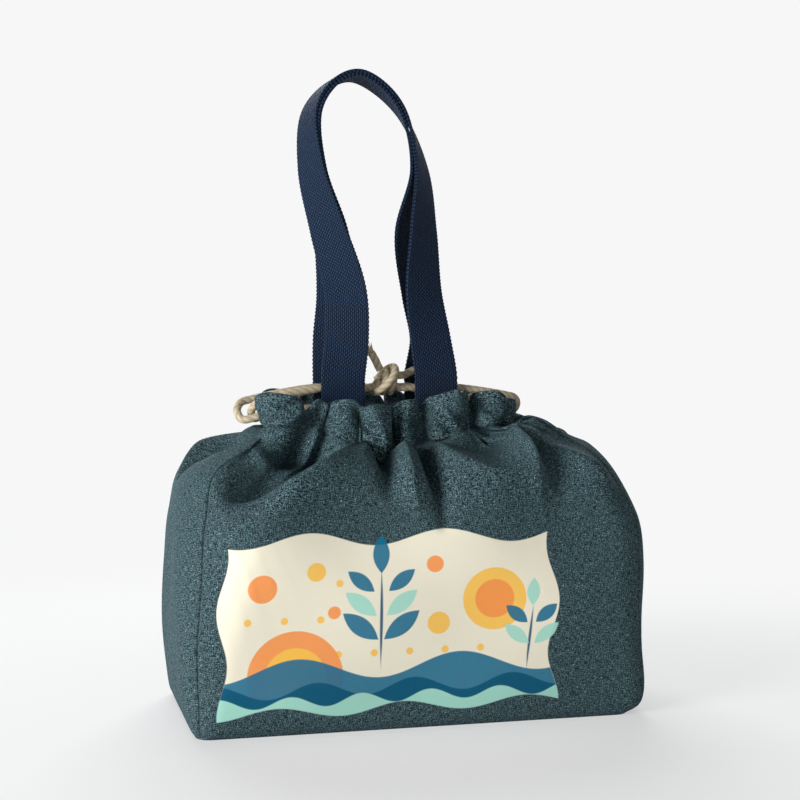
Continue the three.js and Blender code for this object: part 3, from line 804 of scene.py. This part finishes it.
def run_route(side, count=160):
    """Route of a cord inside the casing: along each wall at a fixed depth behind the canvas and at the
    cord's own height over the neck line, from one of its exits to the other."""
    walls = RUN_WALLS[side]
    across = np.linspace(-1, 1, 31)
    level = [edge_places(wall, *MOUTH_HALF, CORNER, across, -RUN_DEPTH) for wall in walls]
    height = [neck_height(wall, across * NECK_HALF[wall]) + CORD_HEIGHT[side] - NECK for wall in walls]
    line = with_height(np.concatenate(level) + (MOUTH_SHIFT, 0), np.concatenate(height))
    keep = np.concatenate([[0], np.arange(2, len(line) - 2), [len(line) - 1]])
    ends = [cord_exit(side, place) for place in (PLACES if side == "left" else reversed(PLACES))]
    line = line[keep]
    line[0], line[-1] = ends
    steps = np.linalg.norm(np.diff(line, axis=0), axis=1)
    line = line[np.concatenate([[True], steps > 0.01])]
    return evenly(line, count)


for side in SIDES:
    route = run_route(side)
    run = cord_tube(f"casing_cord_{side}", route, np.array([0, 0, 1.0]))
    dress(run, "cord", f"{side}_cord_run")
    cord_pieces.append(run)
    print(run.name, round(line_length(route)), "mm in the casing")

# %% Knot
WRAP_TURNS, WRAP_START = 2.5, 0.4 * np.pi
WRAP_RADIUS, WRAP_LENGTH, WRAP_TILT = 5.4, 11, 0.35
CROSSING = [
    (-7.5, 1, -4.5), (-6, -6, -5), (-1, -9.4, -1), (4, -7.5, 5), (5, -1, 8.6), (2, 5, 7), (-3, 8.5, 1),
]
STRAND = [(-8.5, 1, -3), (-3, 0.8, -1.5), (3, 0.8, -1.5), (8.5, 1, -3)]
STRAND_APART = 2.6
turn = np.linspace(0, 1, 110)
angle = 2 * np.pi * WRAP_TURNS * turn + WRAP_START
reach = WRAP_RADIUS * (0.25 + 0.75 * ramp(0, 0.1, turn) * ramp(0, 0.1, 1 - turn))
wrap = np.stack([WRAP_LENGTH * (turn - 0.5), -reach * np.sin(angle), reach * np.cos(angle)], axis=-1)
wrap[:, 0] += WRAP_TILT * wrap[:, 2]
# Each line of the knot goes with a direction that it never runs along
knot_lines = [(wrap, (1, 0, 0.2)), (smooth_route(CROSSING, 70), (1, 0, -1))]
for y in (-STRAND_APART, STRAND_APART):
    knot_lines.append((smooth_route(np.array(STRAND) * (1, y, 1), 24), (0, 0, 1)))
knot_parts = []
for number, (line, across) in enumerate(knot_lines):
    knot_parts.append(cord_tube(f"knot_turn_{number}", line + KNOT, np.array(across, float)))
knot = joined("drawcord_knot", knot_parts)
dress(knot, "cord", "cord_knot")
cord_pieces.append(knot)
print(knot.name, len(knot.data.polygons), "faces")

# %% [markdown]
# Past the knot each cord has a short end. The left one stands up and the right one lies over the other
# strands. Both are frayed into loose threads, which are thin tapered tubes fanned out by the golden angle,
# because that angle never puts two threads in one place.

# %% Knot tails
TAILS = {
    "left": [(-3, -1, 7), (-4.5, -1, 9.9), (-6, -1.5, 12.9), (-8.5, -2, 16.9)],
    "right": [(3, 1, 4), (7.05, 1, 4), (11.05, 1, 4), (19.05, 2, 7), (28.05, 4, 5), (35.05, 5, 1)],
}
THREADS, THREAD_RINGS, THREAD_SIDES, THREAD_RADIUS = 26, 6, 5, 0.42
FRAY = {"left": 5.0, "right": 2.5}
GOLDEN_ANGLE = 2.39996


def many_tubes(points):
    """Faces of many tubes whose points are in order of tube, ring and side."""
    tubes, rings, sides = points.shape[:3]
    one = tube_faces(rings, sides)
    return [[tube * rings * sides + corner for corner in face] for tube in range(tubes) for face in one]


def frayed_end(name, place, ahead, length):
    """Loose threads at the end of a cord: each is a five-sided tube that tapers to its tip and leans out
    from the cord's direction, at an angle round it that grows by the golden angle from thread to thread."""
    number = np.arange(THREADS)[:, None, None]
    share = np.linspace(0, 1, THREAD_RINGS)[None, :, None]
    first = unit(np.cross(ahead, (0, 1.0, 0.3)))
    second = np.cross(ahead, first)
    turn = number * GOLDEN_ANGLE
    spread = np.sqrt((number + 0.5) / THREADS)
    away = np.cos(turn) * first + np.sin(turn) * second
    reach = length * (0.7 + 0.3 * np.sin(number * 1.7) ** 2)
    middle = place + ahead * reach * share + away * spread * (1.7 + 1.6 * share**2)
    ring = np.linspace(0, 2 * np.pi, THREAD_SIDES, endpoint=False)[None, None, :, None]
    radius = THREAD_RADIUS * (1 - 0.7 * share[..., None])
    points = middle[:, :, None] + radius * (np.cos(ring) * first + np.sin(ring) * second)
    along = np.broadcast_to(share[..., None] * length, points.shape[:-1] + (1,))
    flat_map = np.concatenate([0 * along, along], axis=-1)
    return add_mesh(name, points, many_tubes(points), flat_map)


for side, places in TAILS.items():
    route = smooth_route(np.array(places) + KNOT, 40)
    ahead = unit(route[-1] - route[-3])
    parts = [cord_tube(f"tail_cord_{side}", route, np.array([0, 1.0, 0.2]))]
    parts.append(frayed_end(f"tail_threads_{side}", route[-1], ahead, FRAY[side]))
    tail = joined(f"drawcord_tail_{side}", parts)
    dress(tail, "cord", f"knot_tail_{side}")
    cord_pieces.append(tail)
    print(tail.name, round(line_length(route), 1), "mm")

# %% [markdown]
# Each free cord rides on the bag in place of its stiff node, and the point where it leaves the casing
# is printed. All four end in the knot.

for (side, place), (piece, route) in cords.items():
    dress(piece, "cord", f"{side}_cord_{place}")
    cord_pieces.append(piece)
    first = (side, place) == ("left", "front")
    print(piece.name, "leaves the casing at", np.round(cord_exit(side, place)))

# %% [markdown]
# ## Stitching
# Two rows of thread hold the hem: one close under the top edge and one at the bottom of the casing. Each
# stitch is a short bead of thread that stands half out of the canvas, set along a row of the heading. Deep
# between two lobes there is no room for beads, so those are left out.

# %% Stitches
STITCH, STITCH_STEP, THREAD = 2.0, 3.0, 0.36
STITCH_FINE, STITCH_FIRST, STITCH_RINGS, STITCH_SIDES = 40, 4, 5, 6
STITCH_FACING = 0.45
STITCH_ROWS = {"top": 18, "casing": 3}


def stitches(line, lift):
    """Beads along a line of points. Each bead is a tube of five rings whose radius follows a half circle,
    so that it starts and ends in the cloth. lift is the outward direction at each point of the line. Beads
    where it hardly points to the front or back, in the side of a lobe, are left out."""
    count = int(line_length(line) / STITCH_STEP)
    fine = evenly(np.concatenate([line, lift], axis=1), STITCH_FINE * count)
    fine = np.concatenate([evenly(line, STITCH_FINE * count), unit(fine[:, 3:])], axis=1)
    last = STITCH_FIRST + STITCH_FINE * STITCH / STITCH_STEP
    within = np.linspace(STITCH_FIRST, last, STITCH_RINGS)[None, :]
    rings = (np.arange(count)[:, None] * STITCH_FINE + within).astype(int)
    rings = rings[np.abs(fine[rings, 4]).min(axis=1) > STITCH_FACING]
    middle, up = fine[rings, :3], fine[rings, 3:]
    ahead = unit(np.gradient(middle, axis=1))
    side = unit(np.cross(up, ahead))
    radius = THREAD * np.sqrt(1 - np.linspace(-0.97, 0.97, STITCH_RINGS) ** 2)[None, :, None, None]
    angle = np.linspace(0, 2 * np.pi, STITCH_SIDES, endpoint=False)[None, None, :, None]
    return middle[:, :, None] + radius * (np.cos(angle) * side[:, :, None] + np.sin(angle) * up[:, :, None])


stitch_parts = []
for wall in LONG_WALLS:
    rows = headings[wall]
    normal = unit(np.cross(np.gradient(rows, axis=1), np.gradient(rows, axis=0)))
    for name, row in STITCH_ROWS.items():
        points = stitches(rows[row], normal[row])
        stitch_parts.append(add_mesh(f"stitches_{wall}_{name}", points, many_tubes(points)))
stitching = joined("mouth_stitching", stitch_parts)
dress(stitching, "canvas")
print(stitching.name, len(stitching.data.polygons), "faces")

# %% [markdown]
# ## Shader maths
# A finish is a little sum over the surface. The class below wraps a socket of a shader, so that plus,
# times and the rest add Math nodes, and one method adds any other node.

# %% Paint helpers


class Tone:
    """A number that changes over a surface. Sums with it add Math nodes to its material."""

    def __init__(self, paint, socket):
        self.paint, self.socket = paint, socket

    def math(self, operation, *terms):
        return self.paint.node("ShaderNodeMath", {"operation": operation}, dict(enumerate(terms)))

    def __add__(self, other):
        return self.math("ADD", self, other)

    def __sub__(self, other):
        return self.math("SUBTRACT", self, other)

    def __rsub__(self, other):
        return self.math("SUBTRACT", other, self)

    def __mul__(self, other):
        return self.math("MULTIPLY", self, other)

    def __truediv__(self, other):
        return self.math("DIVIDE", self, other)

    def __abs__(self):
        return self.math("ABSOLUTE", self)

    __radd__ = __add__
    __rmul__ = __mul__

    def wave(self, pitch):
        """Sine of this number, one whole wave in each pitch."""
        return self.math("SINE", self * (2 * math.pi / pitch))

    def repeat(self, pitch):
        """The number starts again from 0 after each pitch, as a share of it."""
        return self.math("FRACT", self / pitch)

    def soft_step(self, start, end):
        """0 at start, 1 at end and a smooth step between them."""
        sockets = {"Value": self, "From Min": start, "From Max": end}
        return self.paint.node("ShaderNodeMapRange", {"interpolation_type": "SMOOTHSTEP"}, sockets)


class Paint:
    """A material with one Principled shader. Constants go on its sockets when it is made."""

    def __init__(self, name, **constants):
        self.material = bpy.data.materials.new(name)
        self.material.use_nodes = True
        self.tree = self.material.node_tree
        self.shader = self.tree.nodes["Principled BSDF"]
        for socket, value in constants.items():
            self.shader.inputs[socket.replace("_", " ")].default_value = value

    def node(self, kind, settings, sockets, output=0):
        """Add a node, set its settings, fill or link its sockets, and give back one output as a tone."""
        made = self.tree.nodes.new(kind)
        for name, value in settings.items():
            setattr(made, name, value)
        for name, value in sockets.items():
            self.feed(made.inputs[name], value)
        return Tone(self, made.outputs[output])

    def feed(self, socket, value):
        """Link a tone to a socket, or set a plain value on it."""
        if isinstance(value, Tone):
            self.tree.links.new(value.socket, socket)
        else:
            socket.default_value = value

    def mix(self, first, second, share):
        """Colour between first and second."""
        settings = {"data_type": "RGBA", "clamp_factor": True}
        return self.node("ShaderNodeMix", settings, {0: share, 6: first, 7: second}, output=2)

    def cloth_map(self):
        """Across and up the cloth in millimetres, from the piece's own map."""
        place = self.node("ShaderNodeUVMap", {"uv_map": "cloth"}, {})
        split = self.node("ShaderNodeSeparateXYZ", {}, {0: place})
        return split, Tone(self, split.socket.node.outputs[1])

    def place(self, x, y, z=0.0):
        """Three numbers as a place for a texture."""
        return self.node("ShaderNodeCombineXYZ", {}, {0: x, 1: y, 2: z})

    def noise(self, x, y, z=0.0, detail=1.0):
        """Smooth random number between about 0.2 and 0.8, one swing in each unit of x and y."""
        sockets = {"Vector": self.place(x, y, z), "Scale": 1.0, "Detail": detail}
        return self.node("ShaderNodeTexNoise", {}, sockets)

    def bump(self, height, strength, distance):
        """Dent the surface by a height from 0 to 1, over a distance in metres."""
        sockets = {"Height": height, "Strength": strength, "Distance": distance}
        self.feed(self.shader.inputs["Normal"], self.node("ShaderNodeBump", {}, sockets))

    def finish(self, color, roughness):
        """Link the colour and the roughness."""
        self.feed(self.shader.inputs["Base Color"], color)
        self.feed(self.shader.inputs["Roughness"], roughness)


def coat(pieces, material):
    """Give each piece the material."""
    for piece in pieces:
        piece.data.materials.append(material)
    print(material.name, "on", len(pieces), "pieces has", len(material.node_tree.nodes), "nodes")


def rgb(red, green, blue):
    """Linear colour from display values of 0 to 255."""
    share = np.array([red, green, blue]) / 255
    linear = np.where(share <= 0.04045, share / 12.92, ((share + 0.055) / 1.055) ** 2.4)
    return (*linear.tolist(), 1.0)


# %% [markdown]
# ## Canvas
# The canvas is a plain weave of slate blue yarn spun with pale fibres, so close up it is speckled. Fine
# noise gives the specks, two stretched noises give thicker and thinner yarns, and a few bright flecks
# stand out. The weave itself is a product of two sines in the bump.

# %% Canvas finish
CANVAS_DARK = rgb(6, 20, 25)
CANVAS_PALE = rgb(106, 136, 143)
CANVAS_FLECK = rgb(186, 198, 200)
CANVAS_ROUGH, WEAVE_SHINE = 0.95, 0.12
CANVAS_BUMP = (0.55, 0.0004)
WEAVE = 1.0
SPECKS, YARNS, FLECKS = 2.3, 0.35, 1.1


def canvas(paint):
    """Map, colour and weave height of the heathered canvas. Noises swing so many times in a millimetre."""
    across, up = paint.cloth_map()
    specks = paint.noise(across * SPECKS, up * SPECKS, 0.0, 2.0)
    yarns = paint.noise(across * YARNS, up * SPECKS, 7.0) + paint.noise(across * SPECKS, up * YARNS, 13.0)
    shade = (specks * 0.55 + yarns * 0.225).soft_step(0.44, 0.64)
    color = paint.mix(CANVAS_DARK, CANVAS_PALE, shade)
    flecks = paint.noise(across * FLECKS, up * FLECKS, 31.0).soft_step(0.68, 0.76)
    color = paint.mix(color, CANVAS_FLECK, flecks * 0.8)
    weave = across.wave(WEAVE) * up.wave(WEAVE) * 0.25 + specks * 0.5 + 0.25
    return across, up, color, weave


def plain_canvas():
    """Canvas without a print, for the sides, back and base."""
    paint = Paint("slate_canvas", Specular_IOR_Level=0.1)
    _, _, color, weave = canvas(paint)
    paint.finish(color, CANVAS_ROUGH - weave * WEAVE_SHINE)
    paint.bump(weave, *CANVAS_BUMP)
    return paint.material


coat([panels["back"], panels["left"], panels["right"], base], plain_canvas())

# %% [markdown]
# ## Printed front
# The front carries a big flat print of hills, leaves, dots and suns in cream, teal, yellow, orange
# and mint. Each shape is a mask worked out from the cloth's own map, laid over the one before, so it
# follows the folds. The ink lets the weave through.

# %% Shapes of the print
INK = {
    "cream": rgb(236, 229, 208), "teal": rgb(8, 108, 140), "deep": rgb(6, 82, 112),
    "yellow": rgb(243, 190, 82), "orange": rgb(240, 148, 78), "mint": rgb(160, 212, 196),
}
EDGE = 0.35


class Print:
    """Shapes on the flat cloth in millimetres, each a mask that is 1 inside."""

    def __init__(self, paint, across, up):
        self.paint, self.across, self.up = paint, across, up
        self.spot = paint.place(across, up)

    def inside(self, depth):
        """1 where depth is above zero, with a soft edge."""
        return depth.soft_step(-EDGE, EDGE)

    def disc(self, x, y, radius):
        """Round spot."""
        settings, sockets = {"operation": "DISTANCE"}, {0: self.spot, 1: (x, y, 0)}
        away = self.paint.node("ShaderNodeVectorMath", settings, sockets, output="Value")
        return self.inside(radius - away)

    def leaf(self, x, y, angle, length, width):
        """Leaf whose half width is a parabola along its length, turned by angle from level."""
        settings = {"rotation_type": "Z_AXIS"}
        sockets = {"Vector": self.spot, "Center": (x, y, 0), "Angle": -math.radians(angle)}
        level = self.paint.node("ShaderNodeVectorRotate", settings, sockets)
        local = self.paint.node("ShaderNodeSeparateXYZ", {}, {0: level})
        along = (local - x) / (length / 2)
        through = abs(Tone(self.paint, local.socket.node.outputs[1]) - y)
        return self.inside((1 - along * along) * (width / 2) - through)

    def under(self, height, swing, pitch, start):
        """Everything under a wavy line at a height."""
        return self.inside(height - self.up + (self.across + start).wave(pitch) * swing)

    def dots(self, pitch, radius):
        """Rows of dots, every second row shifted by half a pitch."""
        row = self.up.math("FLOOR", self.up / pitch)
        x = (self.across + row * (pitch / 2)).repeat(pitch) * pitch - pitch / 2
        y = self.up.repeat(pitch) * pitch - pitch / 2
        return self.inside(radius - self.up.math("SQRT", x * x + y * y))


# %% Printed front
CLEAR_OF_DOTS = [
    (36, 74, 22), (6, 62, 11), (-25, 76, 21), (56, 64, 21), (-88, 84, 12), (-60, 92, 12), (4, 94, 13),
]
FIELD_MIDDLE, FIELD_HALF, FIELD_TOP, FIELD_BOTTOM = -20, 88, 109, 17
DOTS_HALF, DOTS_TOP = 78, 98
INK_COVER, INK_WEAVE, INK_SHINE, INK_FILL = 0.8, 0.3, 0.08, 0.45
printed = Paint("printed_canvas", Specular_IOR_Level=0.1)
across, up, color, weave = canvas(printed)
shapes = Print(printed, across, up)
from_middle = abs(across - FIELD_MIDDLE)
sway = up.wave(58) * 3
field = shapes.inside(FIELD_HALF - from_middle + sway) * shapes.under(FIELD_TOP, 4, 74, 9)
field = field * (1 - shapes.under(FIELD_BOTTOM, 3, 66, 30))
clear = field * shapes.inside(DOTS_HALF - from_middle + sway) * shapes.under(DOTS_TOP, 4, 74, 9)
for x, y, radius in CLEAR_OF_DOTS:
    clear = clear * (1 - shapes.disc(x, y, radius))
layers = [
    (field, "cream"),
    (clear * shapes.dots(19, 1.9), "yellow"),
    (field * shapes.disc(36, 74, 17), "yellow"),
    (shapes.disc(36, 74, 10.5), "orange"),
    (field * shapes.disc(-70, 36, 25), "orange"),
    (field * shapes.disc(-70, 36, 16), "yellow"),
    (field * shapes.under(40, 6, 86, 4), "teal"),
    (field * shapes.under(29, 4, 52, 20), "deep"),
    (field * shapes.under(23, 3, 37, 8), "mint"),
    (shapes.leaf(-25, 66, 90, 52, 1.6), "deep"),
    (shapes.leaf(55, 52, 84, 34, 1.4), "deep"),
]
for step, ink in enumerate(("teal", "mint", "teal")):
    for side in (-1, 1):
        leaf = shapes.leaf(-25 + side * 11, 62 + 12 * step, 90 - side * 52, 24 - 3 * step, 9.5 - step)
        layers.append((leaf, ink))
for step, ink in enumerate(("mint", "teal")):
    for side in (-1, 1):
        leaf = shapes.leaf(56 + side * 8, 54 + 11 * step, 90 - side * 50, 17 - 2 * step, 7)
        layers.append((leaf, ink))
layers += [
    (shapes.leaf(-25, 100, 90, 20, 9), "teal"),
    (shapes.leaf(57, 77, 86, 15, 7), "mint"),
    (shapes.disc(-88, 84, 7.5), "orange"),
    (shapes.disc(-60, 92, 5), "yellow"),
    (shapes.disc(4, 94, 4.5), "orange"),
    (shapes.disc(6, 62, 6), "yellow"),
    (shapes.disc(-50, 70, 3.4), "orange"),
]
for mask, ink in layers:
    color = printed.mix(color, INK[ink], mask * (INK_COVER + weave * INK_WEAVE))
printed.finish(color, CANVAS_ROUGH - weave * WEAVE_SHINE - field * INK_SHINE)
printed.bump(weave * (1 - field * INK_FILL), *CANVAS_BUMP)
coat([panels["front"]], printed.material)
print("print has", len(layers), "layers")

# %% [markdown]
# ## Webbing, cord, thread and lining
# The webbing is woven in raised chains of stitches that run along it, so its height is a row of waves
# across the strap, each shifted half a stitch from its neighbour, and its colour is darker between the
# chains as painted shade. The cord is pale cotton with painted shade in the grooves between its strands.

# %% Webbing finish
RIB = 1.15


def webbing():
    """Navy webbing with chains of raised stitches along its length, and painted shade between the chains."""
    paint = Paint("navy_webbing", Specular_IOR_Level=0.12)
    across, along = paint.cloth_map()
    rib = abs(across.wave(2 * RIB))
    shifted = along + across.math("FLOOR", across / RIB) * (CHAIN / 2)
    chain = shifted.wave(CHAIN) * 0.5 + 0.5
    height = rib * (0.3 + chain * 0.7)
    fibres = paint.noise(across * 2.5, along * 2.5, 3.0, 2.0)
    # Painted shade: the colour runs from dark between the raised chains to pale on them, mixed with the
    # fibres' own uneven tone.
    shade = (height * 0.75 + fibres * 0.35).soft_step(0.15, 1.0)
    color = paint.mix(rgb(5, 12, 24), rgb(42, 62, 90), shade)
    paint.finish(color, 0.9 - height * 0.15)
    paint.bump(height, 0.8, 0.0005)
    return paint.material


coat(list(handles.values()), webbing())

# %% Cord finish


def cotton_cord():
    """Natural cotton: fine fibres that follow the strands, and painted shade in the grooves between them."""
    paint = Paint("cotton_cord", Specular_IOR_Level=0.15)
    around, along = paint.cloth_map()
    groove = abs(around.math("COSINE", around * (STRANDS / 2)))
    fibres = paint.noise(around * 3.0, along * 0.5, 5.0, 2.0)
    # Painted shade: groove is highest on each strand and lowest between strands, so the colour is darker in
    # the grooves; the fibre noise is the cotton's own uneven tone.
    shade = (groove * 0.4 + fibres * 0.8).soft_step(0.2, 1.0)
    color = paint.mix(rgb(150, 135, 110), rgb(202, 189, 163), shade)
    paint.finish(color, 0.95 - groove * 0.1)
    paint.bump(groove * 0.4 + fibres * 0.6, 0.5, 0.0004)
    return paint.material


coat(cord_pieces, cotton_cord())

# %% Thread and lining finishes


def thread():
    """Pale grey sewing thread with a fine twist."""
    paint = Paint("sewing_thread", Specular_IOR_Level=0.3)
    place = paint.node("ShaderNodeTexCoord", {}, {}, output="Object")
    sockets = {"Vector": place, "Scale": 1500.0, "Detail": 1.0}
    twist = paint.node("ShaderNodeTexNoise", {}, sockets)
    paint.finish(paint.mix(rgb(60, 76, 82), rgb(112, 128, 132), twist), 0.8 + twist * 0.1)
    return paint.material


def lining():
    """Plain woven cotton in a warm off-white."""
    paint = Paint("plain_lining", Specular_IOR_Level=0.2)
    across, up = paint.cloth_map()
    weave = across.wave(0.8) * up.wave(0.8) * 0.5 + 0.5
    uneven = paint.noise(across * 0.2, up * 1.2, 2.0)
    color = paint.mix(rgb(205, 200, 186), rgb(236, 232, 220), weave * 0.4 + uneven * 0.6)
    paint.finish(color, 0.95 - weave * 0.1)
    paint.bump(weave, 0.4, 0.0003)
    return paint.material


coat([stitching], thread())
coat(linings, lining())

# %% [markdown]
# ## Floor and light
# A pale floor takes the soft shadow and fades into a white background a little way off. A big window of
# light stands at the left, a weak low lamp in front fills the folds, a lamp behind lights the floor and
# throws the shadow forward, and the world gives the rest.

# %% Floor
FLOOR_HALF = 3.0
WHITE = rgb(247, 247, 248)
FLOOR_DROP = np.array([0, 0, 0.2])
FLOOR_GLOW, FAR_GLOW = 0.52, 0.48
corners = np.array([[-1, -1, 0], [1, -1, 0], [1, 1, 0], [-1, 1, 0.0]]) * FLOOR_HALF / MM
floor = add_mesh("floor", corners - FLOOR_DROP, [[0, 1, 2, 3]], smooth=False)
floor_paint = Paint("pale_floor", Specular_IOR_Level=0.1, Roughness=0.9)
floor_paint.shader.inputs["Base Color"].default_value = (0.86, 0.87, 0.86, 1)
tree = floor_paint.tree
place = floor_paint.node("ShaderNodeTexCoord", {}, {}, output="Object")
distance = floor_paint.node("ShaderNodeVectorMath", {"operation": "LENGTH"}, {0: place}, output="Value")
path = tree.nodes.new("ShaderNodeLightPath")
seen = Tone(floor_paint, path.outputs["Is Camera Ray"]) + Tone(floor_paint, path.outputs["Is Glossy Ray"])
seen = seen + Tone(floor_paint, path.outputs["Is Transmission Ray"])
glow = tree.nodes.new("ShaderNodeEmission")
glow.inputs["Color"].default_value = WHITE
blend = tree.nodes.new("ShaderNodeMixShader")
floor_paint.feed(blend.inputs[0], (FLOOR_GLOW + distance.soft_step(0.2, 0.6) * FAR_GLOW) * seen)
tree.links.new(floor_paint.shader.outputs[0], blend.inputs[1])
tree.links.new(glow.outputs[0], blend.inputs[2])
tree.links.new(blend.outputs[0], tree.nodes["Material Output"].inputs["Surface"])
coat([floor], floor_paint.material)

# %% World
WORLD_LIGHT = 0.13
world = bpy.data.worlds.new("studio")
scene.world = world
world.use_nodes = True
tree = world.node_tree
path = tree.nodes.new("ShaderNodeLightPath")
white = tree.nodes.new("ShaderNodeBackground")
white.inputs["Color"].default_value = WHITE
soft = tree.nodes["Background"]
soft.inputs["Color"].default_value = (0.93, 0.97, 1.0, 1)
soft.inputs["Strength"].default_value = WORLD_LIGHT
blend = tree.nodes.new("ShaderNodeMixShader")
seen = tree.nodes.new("ShaderNodeMath")
seen.operation = "MAXIMUM"
tree.links.new(path.outputs["Is Camera Ray"], seen.inputs[0])
tree.links.new(path.outputs["Is Glossy Ray"], seen.inputs[1])
tree.links.new(seen.outputs[0], blend.inputs[0])
tree.links.new(soft.outputs[0], blend.inputs[1])
tree.links.new(white.outputs[0], blend.inputs[2])
tree.links.new(blend.outputs[0], tree.nodes["World Output"].inputs["Surface"])
print("world light", WORLD_LIGHT)

# %% Lamps
LAMPS = {
    "window": ((-1.65, -0.85, 0.3), 1.0, 54.0),
    "front": ((0.3, -1.9, 0.1), 1.2, 8.0),
    "back": ((0.1, 1.5, 1.2), 1.5, 40.0),
}
LAMP_AIM = np.array([0, 0, 0.12])
for name, (place, size, power) in LAMPS.items():
    lamp = bpy.data.lights.new(name, "AREA")
    lamp.size = size
    lamp.energy = power
    holder = bpy.data.objects.new(name, lamp)
    holder.location = place
    away = np.array(place) - LAMP_AIM
    tilt = math.acos(away[2] / np.linalg.norm(away))
    turn = math.atan2(away[1], away[0]) + math.pi / 2
    holder.rotation_euler = (tilt, 0, turn)
    scene.collection.objects.link(holder)
    print(name, "lamp of", power, "W")
